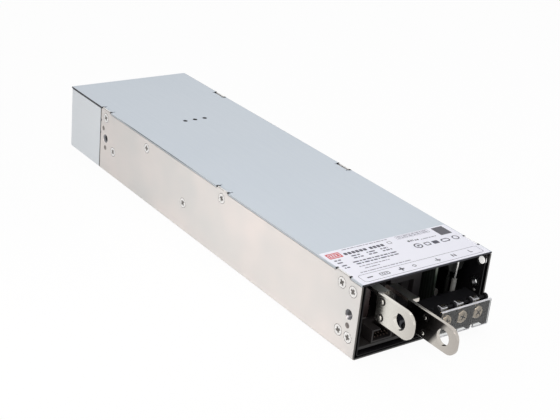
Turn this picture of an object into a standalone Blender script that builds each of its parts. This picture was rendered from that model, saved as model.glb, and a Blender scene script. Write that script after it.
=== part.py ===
"""A low-profile switching power supply, 1U high, open at its terminal end.

A folded steel chassis and cover hold a main board with its parts. Two flat output bars and a
three-pole screw terminal with a hinged clear cover stand out of the open end, and two small fans
blow through a stamped guard in the folded housing at the other end.

The origin is the centre of the case's bottom face. +Z is up, the terminals face -Y, and the fans
face +Y. Lengths are in metres.
"""

import math

import bmesh
import bpy
from mathutils import Matrix, Vector

mm = 0.001

# Clearances and cuts
seat = 0.3 * mm
overrun = 2 * mm
mouth_overrun = 0.2 * mm
small_rounding = 0.6 * mm
round_sides = 16
hole_sides = 10
small_sides = 8
fine_sides = 18
bend_steps = 2
soften_angle = math.radians(50)
sharp_angle = math.radians(40)

# Case
case_length = 300 * mm
case_width = 85 * mm
case_height = 41 * mm
sheet = 1 * mm
fold_radius = 1.2 * mm
fan_section = 41 * mm
seam = 0.4 * mm

# Tabs of the top cover
tab_length = 9.8 * mm
tab_drop = 9 * mm
tab_bend = 1.3 * mm
relief_width = 0.8 * mm
relief_margin = 0.8 * mm
ear_drop = 0.3 * mm
front_tab_inset = 14.7 * mm
rear_tab_inset = 6.1 * mm
middle_tab_share = 0.402

# Holes in the side walls
screw_radius = 1.6 * mm
screw_head_radius = 3.2 * mm
screw_seat_depth = 0.8 * mm
tab_screw_drop = 5.4 * mm
side_screw_shares = ((0.809, 0.410), (0.674, 0.839), (0.530, 0.415))
front_screw_shares = ((0.019, 0.241), (0.044, 0.254))
left_corner_share = (0.0203, 0.844)
right_corner_share = (0.0120, 0.854)
corner_hole_radius = 2.2 * mm
mount_radius = 2.1 * mm
mount_chamfer = 0.8 * mm
mount_height = 22 * mm
left_mount_inset = 6.9 * mm
right_mount_inset = 5.2 * mm
rear_mount_inset = 6.3 * mm
dimple_radius = 1.5 * mm
dimple_depth = 0.5 * mm
dimple_rise = 6 * mm
dimple_shift = 2.9 * mm

# Holes in the bottom and the top
foot_inset_x = 14 * mm
foot_inset_front = 30 * mm
foot_inset_rear = 75 * mm
top_hole_radius = 1.5 * mm
top_hole_pitch = 7 * mm
top_hole_count = 3
top_hole_offset = 1 * mm
top_holes_from_rear = 81.3 * mm

# Fan housing
tongue_length = 8 * mm
tongue_margin = 3 * mm
tongue_height = 11 * mm
seam_dot_radius = 0.8 * mm
seam_dot_shares = (0.788, 0.598)
corner_slit = 0.3 * mm
guard_hub_radius = 4.5 * mm
guard_margin = 1.1 * mm
guard_web = 1.1 * mm
guard_rings = 3
guard_spoke = 1.6 * mm
guard_spokes = 4

# Fans
fan_headroom = 0.7 * mm
fan_depth = 28 * mm
fan_spacing = 1 * mm
fan_side_gap = 3 * mm
fan_flange = 3.6 * mm
fan_corner_radius = 2.4 * mm
duct_inset = 1 * mm
duct_wall = 0.8 * mm
fan_hole_inset = 3 * mm
fan_hole_radius = 1.7 * mm
motor_radius = 9.5 * mm
motor_depth = 3 * mm
strut_width = 2.4 * mm
strut_depth = 2 * mm
strut_count = 4
shaft_radius = 1.5 * mm
hub_radius = 9.8 * mm
hub_rounding = 2.2 * mm
hub_set_back = 1.5 * mm
tip_clearance = 0.6 * mm
blade_count = 7
blade_thickness = 0.9 * mm
blade_chord = 16 * mm
blade_camber = 1.4 * mm
blade_root_sink = 1 * mm
root_pitch = math.radians(58)
tip_pitch = math.radians(36)

# Lining film
film_thickness = 0.5 * mm
film_inset = 0.5 * mm
film_fold_radius = 1 * mm
film_hole_radius = 3.2 * mm

# Main board
board_height = 3.6 * mm
board_thickness = 1.6 * mm
board_inset = 2 * mm
board_rear_margin = 12 * mm
standoff_radius = 3 * mm
standoff_sides = 6
standoff_inset_x = 9 * mm
standoff_inset_y = 18 * mm
board_hole_radius = 1.7 * mm

# Output bars
bar_thickness = 2 * mm
bar_height = 14.8 * mm
bar_hole_radius = 4.2 * mm
bar_corner_radius = 6 * mm
bar_past_hole = 9.2 * mm
bar_root = 2.4 * mm
bump_radius = 1.3 * mm
bump_height = 0.5 * mm
bump_pitch = 8.5 * mm
bump_from_hole = 12.6 * mm
negative_from_wall = 7.8 * mm
negative_headroom = 2.9 * mm
negative_reach = 19.5 * mm
positive_x = -13.2 * mm
positive_low = 13.6 * mm
positive_reach = 28.9 * mm
flange_width = 6.6 * mm
flange_lap = 1.2 * mm
bar_bend_radius = 2.5 * mm
leg_gap = 0.8 * mm
bar_edge_radius = 0.3 * mm

# Terminal block
pole_pitch = 10.9 * mm
pole_count = 3
block_from_wall = 4.6 * mm
barrier_width = 1.4 * mm
barrier_reach = 8.6 * mm
barrier_top = 18.4 * mm
barrier_low = 4.2 * mm
block_face = 2.6 * mm
block_back = 9.5 * mm
block_top = 17.4 * mm
hinge_reach = 5.5 * mm
hinge_height = 19.3 * mm
hinge_pin_radius = 0.8 * mm
hinge_ear_radius = 1.9 * mm
hinge_ring_radius = 1.9 * mm
plate_width = 8.4 * mm
plate_height = 10.6 * mm
plate_thickness = 1 * mm
pole_screw_height = 12.6 * mm
pole_screw_radius = 1.75 * mm
pole_screw_length = 9 * mm
pole_head_radius = 3.6 * mm
pole_head_depth = 2.2 * mm
pole_slot_width = 1 * mm
pole_slot_depth = 1.1 * mm
pole_slot_share = 0.72
clamp_size = 7.8 * mm
clamp_thickness = 0.9 * mm
clamp_lift = 0.5 * mm

# Terminal cover
cover_gap = 0.35 * mm
cover_thickness = 0.9 * mm
cover_low = 5.5 * mm
cover_rise = 0.7 * mm
cover_overlap = 0.7 * mm
cover_web = 0.8 * mm
cover_notch = 2.2 * mm
cover_lug_width = 4.6 * mm
cover_lug_offset = 0.8 * mm

# Control connector
connector_from_wall = 18 * mm
connector_width = 13.2 * mm
connector_height = 7 * mm
connector_depth = 11 * mm
connector_wall = 0.9 * mm
socket_depth = 9.4 * mm
pin_length = 4.4 * mm
pin_side = 0.6 * mm
pin_pitch = 2 * mm
pin_columns = 5
pin_rows = 2
key_width = 3 * mm

# Trimmer and status light
trimmer_centre_x = -7.4 * mm
trimmer_size = 6.4 * mm
trimmer_depth = 6 * mm
trimmer_screw_radius = 1.6 * mm
trimmer_screw_length = 2.6 * mm
trimmer_screw_proud = 0.7 * mm
trimmer_slot = 0.6 * mm
trimmer_slot_depth = 0.7 * mm
light_centre_x = -0.8 * mm
light_radius = 1.5 * mm
light_length = 4.4 * mm
light_flange_radius = 1.9 * mm
light_flange = 0.7 * mm
light_stem = 1.6 * mm
light_rise = 3 * mm
light_steps = 3

# Upright boards
small_board_thickness = 1.2 * mm
filter_board_x = 21 * mm
filter_board_start = 15 * mm
filter_board_length = 30 * mm
filter_board_height = 24 * mm
control_board_length = 44 * mm
control_board_height = 25 * mm
control_board_from_wall = 15.1 * mm
control_chip_size = 9 * mm
control_chip_thickness = 1.4 * mm

# Parts on the board, from the terminal end to the fans
part_gap = 2.5 * mm
output_capacitor_radius = 5 * mm
output_capacitor_height = 26 * mm
output_capacitor_rows = 3
output_capacitor_columns = 2
output_capacitor_from_wall = 6.35 * mm
can_rounding = 0.8 * mm
can_groove = 0.4 * mm
can_groove_share = 0.125
line_choke_x = 4.5 * mm
line_choke_width = 21 * mm
line_choke_length = 19 * mm
line_choke_height = 23 * mm
line_chokes_start = 17.5 * mm
choke_flange = 1.8 * mm
choke_leg = 5 * mm
choke_coil_radius = 5.2 * mm
film_capacitor_width = 22 * mm
film_capacitor_length = 9 * mm
film_capacitor_height = 16 * mm
thermistor_from_wall = 6.7 * mm
thermistor_start = 15 * mm
thermistor_radius = 6 * mm
thermistor_thickness = 4 * mm
thermistor_headroom = 3 * mm
thermistor_pitch = 5 * mm
lead_radius = 0.5 * mm
sleeve_radius = 1.1 * mm
sleeve_height = 17 * mm
fuse_from_wall = 8.1 * mm
fuse_radius = 2.6 * mm
fuse_length = 20 * mm
fuse_cap = 5 * mm
fuse_glass_inset = 0.3 * mm
relay_from_wall = 7.1 * mm
relay_width = 12 * mm
relay_length = 15 * mm
relay_height = 15 * mm
rectifier_from_wall = 9.1 * mm
rectifier_width = 16 * mm
rectifier_thickness = 3.6 * mm
rectifier_height = 15 * mm
rectifier_legs = 4
sink_base = 2.4 * mm
sink_fin = 1.2 * mm
sink_fin_gap = 2.6 * mm
sink_fin_length = 6 * mm
sink_headroom = 6.5 * mm
sink_length = 76 * mm
sink_from_film = 1 * mm
rectifier_sink_length = 18 * mm
power_start = 86 * mm
transformer_x = 4 * mm
transformer_width = 36 * mm
transformer_length = 38 * mm
transformer_headroom = 4.5 * mm
core_leg = 6 * mm
core_thickness = 24 * mm
winding_clearance = 0.5 * mm
output_ring_radius = 8.4 * mm
output_ring_tube = 3.6 * mm
boost_headroom = 0.9 * mm
boost_ring_tube = 4.5 * mm
toroid_turns = 10
toroid_sides = 8
toroid_swell_share = 0.07
output_choke_from_wall = 13.1 * mm
boost_choke_x = 2 * mm
bulk_headroom = 5.5 * mm
bulk_length = 45 * mm
bulk_gap = 4 * mm
bulk_start = 166 * mm

# Finishes: colour, roughness, metallic
nickel = ((0.74, 0.72, 0.69), 0.34, 1.0)
zinc = ((0.62, 0.65, 0.69), 0.42, 1.0)
tinned_copper = ((0.77, 0.74, 0.68), 0.25, 1.0)
brass = ((0.78, 0.62, 0.36), 0.3, 1.0)
aluminium = ((0.75, 0.76, 0.77), 0.4, 1.0)
black_film = ((0.015, 0.015, 0.017), 0.45, 0.0)
black_plastic = ((0.02, 0.02, 0.022), 0.5, 0.0)
fan_plastic = ((0.03, 0.03, 0.032), 0.55, 0.0)
clear_plastic = ((0.75, 0.78, 0.8), 0.1, 0.0)
board_green = ((0.02, 0.16, 0.07), 0.45, 0.0)
blue_plastic = ((0.03, 0.12, 0.4), 0.4, 0.0)
lamp_green = ((0.1, 0.7, 0.2), 0.2, 0.0)
can_sleeve = ((0.03, 0.03, 0.05), 0.4, 0.0)
film_box = ((0.45, 0.36, 0.06), 0.45, 0.0)
ferrite = ((0.06, 0.06, 0.065), 0.6, 0.0)
copper_wire = ((0.6, 0.28, 0.12), 0.35, 1.0)
winding_tape = ((0.65, 0.5, 0.08), 0.5, 0.0)
dark_disc = ((0.03, 0.035, 0.03), 0.5, 0.0)
fuse_body = ((0.6, 0.6, 0.58), 0.3, 0.0)

# Places that follow from the sizes
front = -case_length / 2
rear = case_length / 2
seam_y = rear - fan_section
side = case_width / 2
inner_side = side - sheet
roof = case_height - sheet
tab_outer = inner_side - seat
tab_inner = tab_outer - sheet
pocket_length = tab_length + 2 * relief_width
relief_x = tab_outer - tab_bend - relief_margin
film_side = tab_inner - seat
film_floor = sheet + seat
board_side = film_side - film_thickness - seat
board_top = board_height + board_thickness
on_board = board_top + seat
fan_size = min(roof - sheet - seat - fan_headroom, inner_side - fan_spacing / 2 - fan_side_gap)
fan_hole_pitch = fan_size - 2 * fan_hole_inset
duct_radius = fan_size / 2 - duct_inset
fan_x = (fan_size + fan_spacing) / 2
fan_z = sheet + seat + fan_size / 2
fan_rear = rear - sheet - seat
fan_front = fan_rear - fan_depth
guard_radius = duct_radius - guard_margin
guard_slot = (guard_radius - guard_hub_radius - (guard_rings - 1) * guard_web) / guard_rings
parts_rear = seam_y - board_rear_margin
leg_from_front = board_inset + connector_depth + leg_gap + bar_thickness
capacitors_start = leg_from_front + part_gap
negative_low = roof - negative_headroom - bar_height
negative_x = negative_from_wall - inner_side
connector_centre_x = connector_from_wall - inner_side
first_barrier_x = inner_side - block_from_wall - pole_count * pole_pitch
output_capacitor_x = output_capacitor_from_wall - board_side
output_choke_x = output_choke_from_wall - board_side
control_board_x = control_board_from_wall - board_side
thermistor_x = board_side - thermistor_from_wall
thermistor_top = roof - thermistor_headroom
fuse_x = board_side - fuse_from_wall
relay_x = board_side - relay_from_wall
rectifier_x = board_side - rectifier_from_wall
sink_height = roof - on_board - sink_headroom
transformer_height = roof - on_board - transformer_headroom
boost_ring_depth = boost_ring_tube * (1 + toroid_swell_share)
boost_ring_radius = (roof - on_board - boost_headroom) / 2 - boost_ring_depth
bulk_radius = (roof - on_board - bulk_headroom) / 2
bulk_x = bulk_radius + bulk_gap / 2

for old in list(bpy.data.objects):
    bpy.data.objects.remove(old)
for old in list(bpy.data.collections):
    bpy.data.collections.remove(old)

parts = bpy.data.collections.new("power_supply")
cutters = bpy.data.collections.new("cutters")
cutters.hide_render = True
bpy.context.scene.collection.children.link(parts)
bpy.context.scene.collection.children.link(cutters)


# Helpers

def along(distance):
    """The place this far behind the terminal end of the case."""
    return front + distance


def add_object(name, shape):
    """A part from a bmesh."""
    mesh = bpy.data.meshes.new(name)
    shape.to_mesh(mesh)
    shape.free()
    made = bpy.data.objects.new(name, mesh)
    parts.objects.link(made)
    return made


def paint(piece, finish):
    """Gives a part its own Principled material."""
    colour, roughness, metallic = finish
    material = bpy.data.materials.new(piece.name + "_finish")
    material.use_nodes = True
    shader = material.node_tree.nodes["Principled BSDF"]
    shader.inputs["Base Color"].default_value = (*colour, 1)
    shader.inputs["Roughness"].default_value = roughness
    shader.inputs["Metallic"].default_value = metallic
    piece.data.materials.clear()
    piece.data.materials.append(material)
    return piece


def block(name, low, high):
    """A box between two corners, with its origin at its centre."""
    low = Vector(low)
    high = Vector(high)
    shape = bmesh.new()
    bmesh.ops.create_cube(shape, size=1)
    bmesh.ops.scale(shape, vec=high - low, verts=shape.verts)
    made = add_object(name, shape)
    made.location = (low + high) / 2
    return made


def rod(name, start, end, radius, end_radius=None, sides=round_sides):
    """A cylinder, or a cone, from one point to another."""
    start = Vector(start)
    end = Vector(end)
    axis = end - start
    shape = bmesh.new()
    bmesh.ops.create_cone(
        shape,
        cap_ends=True,
        segments=sides,
        radius1=radius,
        radius2=radius if end_radius is None else end_radius,
        depth=axis.length,
    )
    made = add_object(name, shape)
    turn = axis.to_track_quat("Z", "Y").to_matrix().to_4x4()
    made.matrix_basis = Matrix.Translation((start + end) / 2) @ turn
    return made


def stepped_rod(name, start, middle, end, wide, radius, sides=hole_sides):
    """A cone that narrows from start to middle and goes on straight to the end."""
    start, middle, end = Vector(start), Vector(middle), Vector(end)
    slope = middle - start
    shape = bmesh.new()
    bmesh.ops.create_cone(
        shape, cap_ends=True, segments=sides, radius1=wide, radius2=radius, depth=slope.length
    )
    shape.normal_update()
    cap = max(shape.faces, key=lambda face: face.calc_center_median().z)
    drawn = bmesh.ops.extrude_face_region(shape, geom=[cap])["geom"]
    moved = [vertex for vertex in drawn if isinstance(vertex, bmesh.types.BMVert)]
    bmesh.ops.translate(shape, vec=(0, 0, (end - middle).length), verts=moved)
    if cap.is_valid:
        bmesh.ops.delete(shape, geom=[cap], context="FACES_ONLY")
    made = add_object(name, shape)
    turn = slope.to_track_quat("Z", "Y").to_matrix().to_4x4()
    made.matrix_basis = Matrix.Translation((start + middle) / 2) @ turn
    return made


def turned(name, loops, steps=round_sides):
    """Profiles of (radius, height) turned about Z. Each one runs down its outer side."""
    shape = bmesh.new()
    for loop, closed in loops:
        points = [shape.verts.new((radius, 0, height)) for radius, height in loop]
        pairs = list(zip(points, points[1:]))
        if closed:
            pairs.append((points[-1], points[0]))
        for first, second in pairs:
            shape.edges.new((first, second))
    made = add_object(name, shape)
    screw = made.modifiers.new("turn", "SCREW")
    screw.steps = steps
    screw.render_steps = steps
    screw.use_merge_vertices = True
    screw.merge_threshold = 0.00001
    return made


def gather(name, pieces):
    """Several shapes that don't meet, as one object."""
    shape = bmesh.new()
    for piece in pieces:
        mesh = piece.data
        mesh.transform(piece.matrix_basis)
        shape.from_mesh(mesh)
        bpy.data.objects.remove(piece)
        bpy.data.meshes.remove(mesh)
    return add_object(name, shape)


def tool(piece):
    """Moves a shape to the cutters, where it is neither seen nor built."""
    parts.objects.unlink(piece)
    cutters.objects.link(piece)
    piece.hide_render = True
    piece.display_type = "WIRE"
    return piece


def combine(piece, other, operation, crossing=False):
    """Adds one Boolean. Crossing says that the other's own shapes may run into each other."""
    boolean = piece.modifiers.new(operation.lower(), "BOOLEAN")
    boolean.use_self = crossing
    boolean.operation = operation
    boolean.solver = "EXACT"
    boolean.object = tool(other)
    return piece


def cut(piece, *others):
    for other in others:
        combine(piece, other, "DIFFERENCE")
    return piece


def join(piece, *others):
    for other in others:
        combine(piece, other, "UNION")
    return piece


def fillet(piece, width, chosen, segments=3):
    """Rounds the edges for which chosen(middle, direction) is true, before any modifier."""
    shape = bmesh.new()
    shape.from_mesh(piece.data)
    edges = []
    for edge in shape.edges:
        first, second = (vertex.co for vertex in edge.verts)
        if chosen((first + second) / 2, (second - first).normalized()):
            edges.append(edge)
    bmesh.ops.bevel(shape, geom=edges, offset=width, segments=segments, profile=0.5, affect="EDGES")
    shape.to_mesh(piece.data)
    shape.free()
    return piece


def soften(piece, width, segments=2):
    """Rounds every sharp edge a little."""
    bevel = piece.modifiers.new("soft edges", "BEVEL")
    bevel.width = width
    bevel.segments = segments
    bevel.limit_method = "ANGLE"
    bevel.angle_limit = soften_angle
    return piece


def folded(name, low, high, kept, radius=fold_radius, thickness=sheet):
    """One folded sheet: the kept faces of a box, rounded at their folds and thickened inwards."""
    low = Vector(low)
    high = Vector(high)
    shape = bmesh.new()
    bmesh.ops.create_cube(shape, size=1)
    bmesh.ops.scale(shape, vec=high - low, verts=shape.verts)
    shape.normal_update()
    ways = [Vector(way) for way in kept]
    dropped = [face for face in shape.faces if all(face.normal.dot(way) < 0.5 for way in ways)]
    bmesh.ops.delete(shape, geom=dropped, context="FACES")
    folds = [edge for edge in shape.edges if len(edge.link_faces) == 2]
    bmesh.ops.bevel(shape, geom=folds, offset=radius, segments=3, profile=0.5, affect="EDGES")
    made = add_object(name, shape)
    made.location = (low + high) / 2
    wall = made.modifiers.new("sheet", "SOLIDIFY")
    wall.thickness = thickness
    wall.offset = -1
    wall.use_even_offset = True
    return made


def shade_round(piece):
    """Smooth shading on the round sides, with sharp edges kept."""
    piece.data.shade_smooth()
    piece.data.set_sharp_from_angle(angle=sharp_angle)
    return piece


# Places shared by the case's pieces

def tab_centres():
    return [along(front_tab_inset), along(middle_tab_share * case_length), seam_y - rear_tab_inset]


def side_holes(sign):
    """(place along the case, height, kind) of each hole in one side wall."""
    holes = [(y, case_height - tab_screw_drop, "screw") for y in tab_centres()]
    holes += [(along(y * case_length), z * case_height, "screw") for y, z in side_screw_shares]
    if sign < 0:
        holes += [(along(y * case_length), z * case_height, "screw") for y, z in front_screw_shares]
    corner_y, corner_z = left_corner_share if sign < 0 else right_corner_share
    kind = "screw" if sign < 0 else "corner"
    holes.append((along(corner_y * case_length), corner_z * case_height, kind))
    front_mount = along(left_mount_inset if sign < 0 else right_mount_inset)
    rear_mount = seam_y - rear_mount_inset
    holes += [(front_mount, mount_height, "mount"), (rear_mount, mount_height, "mount")]
    if sign < 0:
        holes += [(y, mount_height - dimple_rise, "dimple") for y in (front_mount, rear_mount)]
        holes.append((rear_mount + dimple_shift, mount_height + dimple_rise, "dimple"))
    return holes


def wall_hole(sign, y, z, kind):
    """A cutter through, or into, a side wall."""
    mouth = Vector((sign * (side + mouth_overrun), y, z))
    inside = Vector((sign * (inner_side - overrun), y, z))
    if kind == "corner":
        return rod("hole", mouth, inside, corner_hole_radius, sides=hole_sides)
    if kind == "dimple":
        floor = Vector((sign * (side - dimple_depth), y, z))
        return rod("hole", mouth, floor, dimple_radius, sides=small_sides)
    radius, wide, depth = mount_radius, mount_radius + mount_chamfer, mount_chamfer
    if kind == "screw":
        radius, wide, depth = screw_radius, screw_head_radius, screw_seat_depth
    slope = (wide - radius) / depth
    middle = Vector((sign * (side - depth), y, z))
    return stepped_rod("hole", mouth, middle, inside, wide + slope * mouth_overrun, radius)


def corner_places(inset_x, first_y, last_y):
    """Four places, one near each corner of the bottom."""
    return [(x, y) for x in (-side + inset_x, side - inset_x) for y in (first_y, last_y)]


# Case

def chassis():
    """The bottom and both side walls, folded from one sheet."""
    body = folded(
        "chassis",
        (-side, front, 0),
        (side, seam_y, case_height - ear_drop),
        [(-1, 0, 0), (1, 0, 0), (0, 0, -1)],
    )
    ends = [front - overrun]
    for y in tab_centres():
        ends += [y - pocket_length / 2 + seat, y + pocket_length / 2 - seat]
    ends.append(seam_y + overrun)
    low_edges = [
        block("notch", (-side - overrun, first, roof - seat), (side + overrun, last, case_height + overrun))
        for first, last in zip(ends[::2], ends[1::2])
    ]
    cut(body, gather("chassis_notches", low_edges))
    holes = [wall_hole(sign, *hole) for sign in (-1, 1) for hole in side_holes(sign)]
    for x, y in corner_places(foot_inset_x, along(foot_inset_front), rear - foot_inset_rear):
        ends = ((x, y, -overrun), (x, y, sheet + overrun))
        holes.append(rod("hole", *ends, mount_radius, sides=hole_sides))
    combine(body, gather("chassis_holes", holes), "DIFFERENCE", crossing=True)
    return paint(body, nickel)


def cover_lines():
    """The places across and along the cover where its outline changes."""
    across = [-side, -tab_outer, -relief_x, relief_x, tab_outer, side]
    lines = [front]
    for y in tab_centres():
        lines += [y - pocket_length / 2, y - tab_length / 2, y + tab_length / 2, y + pocket_length / 2]
    lines.append(rear)
    return across, lines


def top_cover():
    """The flat cover over the whole length, with tabs folded down inside the side walls."""
    across, lines = cover_lines()
    shape = bmesh.new()
    bmesh.ops.create_grid(shape, x_segments=len(across) - 1, y_segments=len(lines) - 1, size=1)
    for vertex in shape.verts:
        column = round((vertex.co.x + 1) / 2 * (len(across) - 1))
        row = round((vertex.co.y + 1) / 2 * (len(lines) - 1))
        vertex.co = (across[column], lines[row], case_height)
    waste = []
    folds = []
    for face in shape.faces:
        middle = face.calc_center_median()
        from_tab = min(abs(middle.y - y) for y in tab_centres())
        in_tab = from_tab < tab_length / 2
        in_pocket = from_tab < pocket_length / 2
        outboard = abs(middle.x) > tab_outer
        near_fold = abs(middle.x) > relief_x
        if in_pocket and (outboard or (near_fold and not in_tab)):
            waste.append(face)
        elif in_tab and near_fold:
            outer = max(face.edges, key=lambda edge: abs(sum(v.co.x for v in edge.verts)))
            folds.append(outer)
    bmesh.ops.delete(shape, geom=waste, context="FACES")
    drawn = bmesh.ops.extrude_edge_only(shape, edges=folds)["geom"]
    for vertex in drawn:
        if isinstance(vertex, bmesh.types.BMVert):
            vertex.co.z = case_height - tab_drop
    bmesh.ops.recalc_face_normals(shape, faces=shape.faces)
    if max(shape.faces, key=lambda face: face.calc_area()).normal.z < 0:
        bmesh.ops.reverse_faces(shape, faces=shape.faces)
    bmesh.ops.bevel(
        shape, geom=folds, offset=tab_bend, segments=bend_steps, profile=0.5, affect="EDGES"
    )
    plate = add_object("top_cover", shape)
    wall = plate.modifiers.new("sheet", "SOLIDIFY")
    wall.thickness = sheet
    wall.offset = -1
    wall.use_even_offset = True
    holes = []
    for sign in (-1, 1):
        for y in tab_centres():
            z = case_height - tab_screw_drop
            ends = ((sign * (tab_inner - overrun), y, z), (sign * (tab_outer + overrun), y, z))
            holes.append(rod("hole", *ends, screw_radius, sides=small_sides))
    middle = (top_hole_count - 1) / 2
    for number in range(top_hole_count):
        x = top_hole_offset + (number - middle) * top_hole_pitch
        y = rear - top_holes_from_rear
        ends = ((x, y, roof - overrun), (x, y, case_height + overrun))
        holes.append(rod("hole", *ends, top_hole_radius, sides=hole_sides))
    cut(plate, gather("cover_holes", holes))
    return paint(plate, zinc)


def guard_slots(sign):
    """The ring-shaped slots of one finger guard, broken by its spokes."""
    loops = []
    inner = guard_hub_radius
    half = sheet / 2 + overrun
    for _ in range(guard_rings):
        outer = inner + guard_slot
        loops.append(([(inner, half), (outer, half), (outer, -half), (inner, -half)], True))
        inner = outer + guard_web
    slots = turned("guard_slots", loops)
    spokes = []
    for number in range(guard_spokes):
        start = guard_hub_radius - guard_web
        spoke = block(
            "spoke",
            (start, -guard_spoke / 2, -half - overrun),
            (guard_radius + overrun, guard_spoke / 2, half + overrun),
        )
        swing = Matrix.Rotation((number + 0.5) * math.tau / guard_spokes, 4, "Z")
        spoke.matrix_basis = swing @ spoke.matrix_basis
        spokes.append(spoke)
    turn = Matrix.Rotation(-math.pi / 2, 4, "X")
    place = Matrix.Translation((sign * fan_x, rear - sheet / 2, fan_z)) @ turn
    slots.matrix_basis = place
    bars = gather("guard_spokes", spokes)
    bars.matrix_basis = place
    return cut(slots, bars)


def fan_housing():
    """Bottom, sides and guarded rear wall of the fan end, folded from one sheet."""
    start = seam_y + seam
    body = folded(
        "fan_housing",
        (-side, start, 0),
        (side, rear, roof - seat),
        [(-1, 0, 0), (1, 0, 0), (0, 0, -1), (0, 1, 0)],
    )
    slits = []
    for sign in (-1, 1):
        xs = sorted((sign * (inner_side - corner_slit), sign * inner_side))
        slits.append(
            block(
                "slit",
                (xs[0], rear - sheet - overrun, fold_radius + sheet),
                (xs[1], rear + overrun, roof + overrun),
            )
        )
    cut(body, gather("housing_slits", slits), guard_slots(-1), guard_slots(1))
    low = case_height / 2 - tongue_height
    for sign in (-1, 1):
        for bottom in (sheet + tongue_margin, low + tongue_height):
            xs = sorted((sign * tab_inner, sign * tab_outer))
            tongue = block(
                "tongue",
                (xs[0], seam_y - tongue_length, bottom),
                (xs[1], start + tongue_margin, bottom + tongue_height - tongue_margin),
            )
            xs = sorted((sign * (tab_inner + sheet / 2), sign * (inner_side + sheet / 2)))
            jog = block(
                "jog",
                (xs[0], start + seam, bottom + seat),
                (xs[1], start + tongue_margin - seat, bottom + tongue_height - tongue_margin - seat),
            )
            join(body, tongue, jog)
    holes = []
    for sign in (-1, 1):
        for share in seam_dot_shares:
            z = share * case_height
            ends = ((sign * (inner_side - overrun), start, z), (sign * (side + overrun), start, z))
            holes.append(rod("dot", *ends, seam_dot_radius, sides=small_sides))
        for x in (-fan_hole_pitch / 2, fan_hole_pitch / 2):
            for z in (-fan_hole_pitch / 2, fan_hole_pitch / 2):
                hole_x = sign * fan_x + x
                hole_z = fan_z + z
                ends = ((hole_x, rear - sheet - overrun, hole_z), (hole_x, rear + overrun, hole_z))
                holes.append(rod("fan_hole", *ends, fan_hole_radius, sides=small_sides))
    cut(body, gather("housing_holes", holes))
    return paint(body, zinc)


def insulation_film():
    """The black film that lines the bottom and the sides."""
    rear_end = seam_y - tongue_length - seat
    film = folded(
        "insulation_film",
        (-film_side, along(film_inset), film_floor),
        (film_side, rear_end, roof - seat),
        [(-1, 0, 0), (1, 0, 0), (0, 0, -1)],
        radius=film_fold_radius,
        thickness=film_thickness,
    )
    holes = []
    for sign, inset in ((-1, left_mount_inset), (1, right_mount_inset)):
        for y in (along(inset), seam_y - rear_mount_inset):
            if y < rear_end - film_hole_radius:
                ends = ((sign * (film_side - overrun), y, mount_height), (sign * side, y, mount_height))
                holes.append(rod("hole", *ends, film_hole_radius, sides=small_sides))
    y = along(right_corner_share[0] * case_length)
    z = right_corner_share[1] * case_height
    ends = ((film_side - overrun, y, z), (side, y, z))
    holes.append(rod("hole", *ends, corner_hole_radius + seat, sides=small_sides))
    for x, y in standoff_places():
        ends = ((x, y, 0), (x, y, film_floor + overrun))
        holes.append(rod("hole", *ends, standoff_radius + 2 * seat, sides=small_sides))
    cut(film, gather("film_holes", holes))
    return paint(film, black_film)


# Fans

def fan_frame(name, x):
    """A square fan frame: two flanges, a round duct, four struts, a motor and its shaft."""
    centre = Vector((x, 0, fan_z))
    half = fan_size / 2
    corners = lambda middle, way: abs(way.y) > 0.5

    def flange(label, low, high):
        made = block(label, (x - half, low, fan_z - half), (x + half, high, fan_z + half))
        return fillet(made, fan_corner_radius, corners)

    frame = flange(name, fan_front, fan_front + fan_flange)
    rear_flange = flange("flange", fan_rear - fan_flange, fan_rear)
    barrel = rod(
        "barrel",
        centre + Vector((0, fan_front + fan_flange / 2, 0)),
        centre + Vector((0, fan_rear - fan_flange / 2, 0)),
        duct_radius + duct_wall,
    )
    join(frame, barrel, rear_flange)
    duct = rod(
        "duct",
        centre + Vector((0, fan_front - overrun, 0)),
        centre + Vector((0, fan_rear + overrun, 0)),
        duct_radius,
    )
    holes = [duct]
    for dx in (-fan_hole_pitch / 2, fan_hole_pitch / 2):
        for dz in (-fan_hole_pitch / 2, fan_hole_pitch / 2):
            ends = (
                centre + Vector((dx, fan_front - overrun, dz)),
                centre + Vector((dx, fan_rear + overrun, dz)),
            )
            holes.append(rod("hole", *ends, fan_hole_radius, sides=small_sides))
    cut(frame, gather(name + "_bores", holes))
    motor = rod(
        "motor",
        centre + Vector((0, fan_front, 0)),
        centre + Vector((0, fan_front + motor_depth, 0)),
        motor_radius,
        sides=hole_sides,
    )
    struts = []
    for number in range(strut_count):
        strut = block(
            "strut",
            (motor_radius - strut_width / 2, fan_front, -strut_width / 2),
            (duct_radius + duct_wall / 2, fan_front + strut_depth, strut_width / 2),
        )
        turn = Matrix.Rotation((number + 0.5) * math.tau / strut_count, 4, "Y")
        strut.matrix_basis = Matrix.Translation(centre) @ turn @ strut.matrix_basis
        struts.append(strut)
    shaft = rod(
        "shaft",
        centre + Vector((0, fan_front + motor_depth / 2, 0)),
        centre + Vector((0, fan_rear - hub_set_back - hub_rounding - seat, 0)),
        shaft_radius,
        sides=small_sides,
    )
    join(frame, motor, gather(name + "_struts", struts), shaft)
    return paint(frame, fan_plastic)


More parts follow.
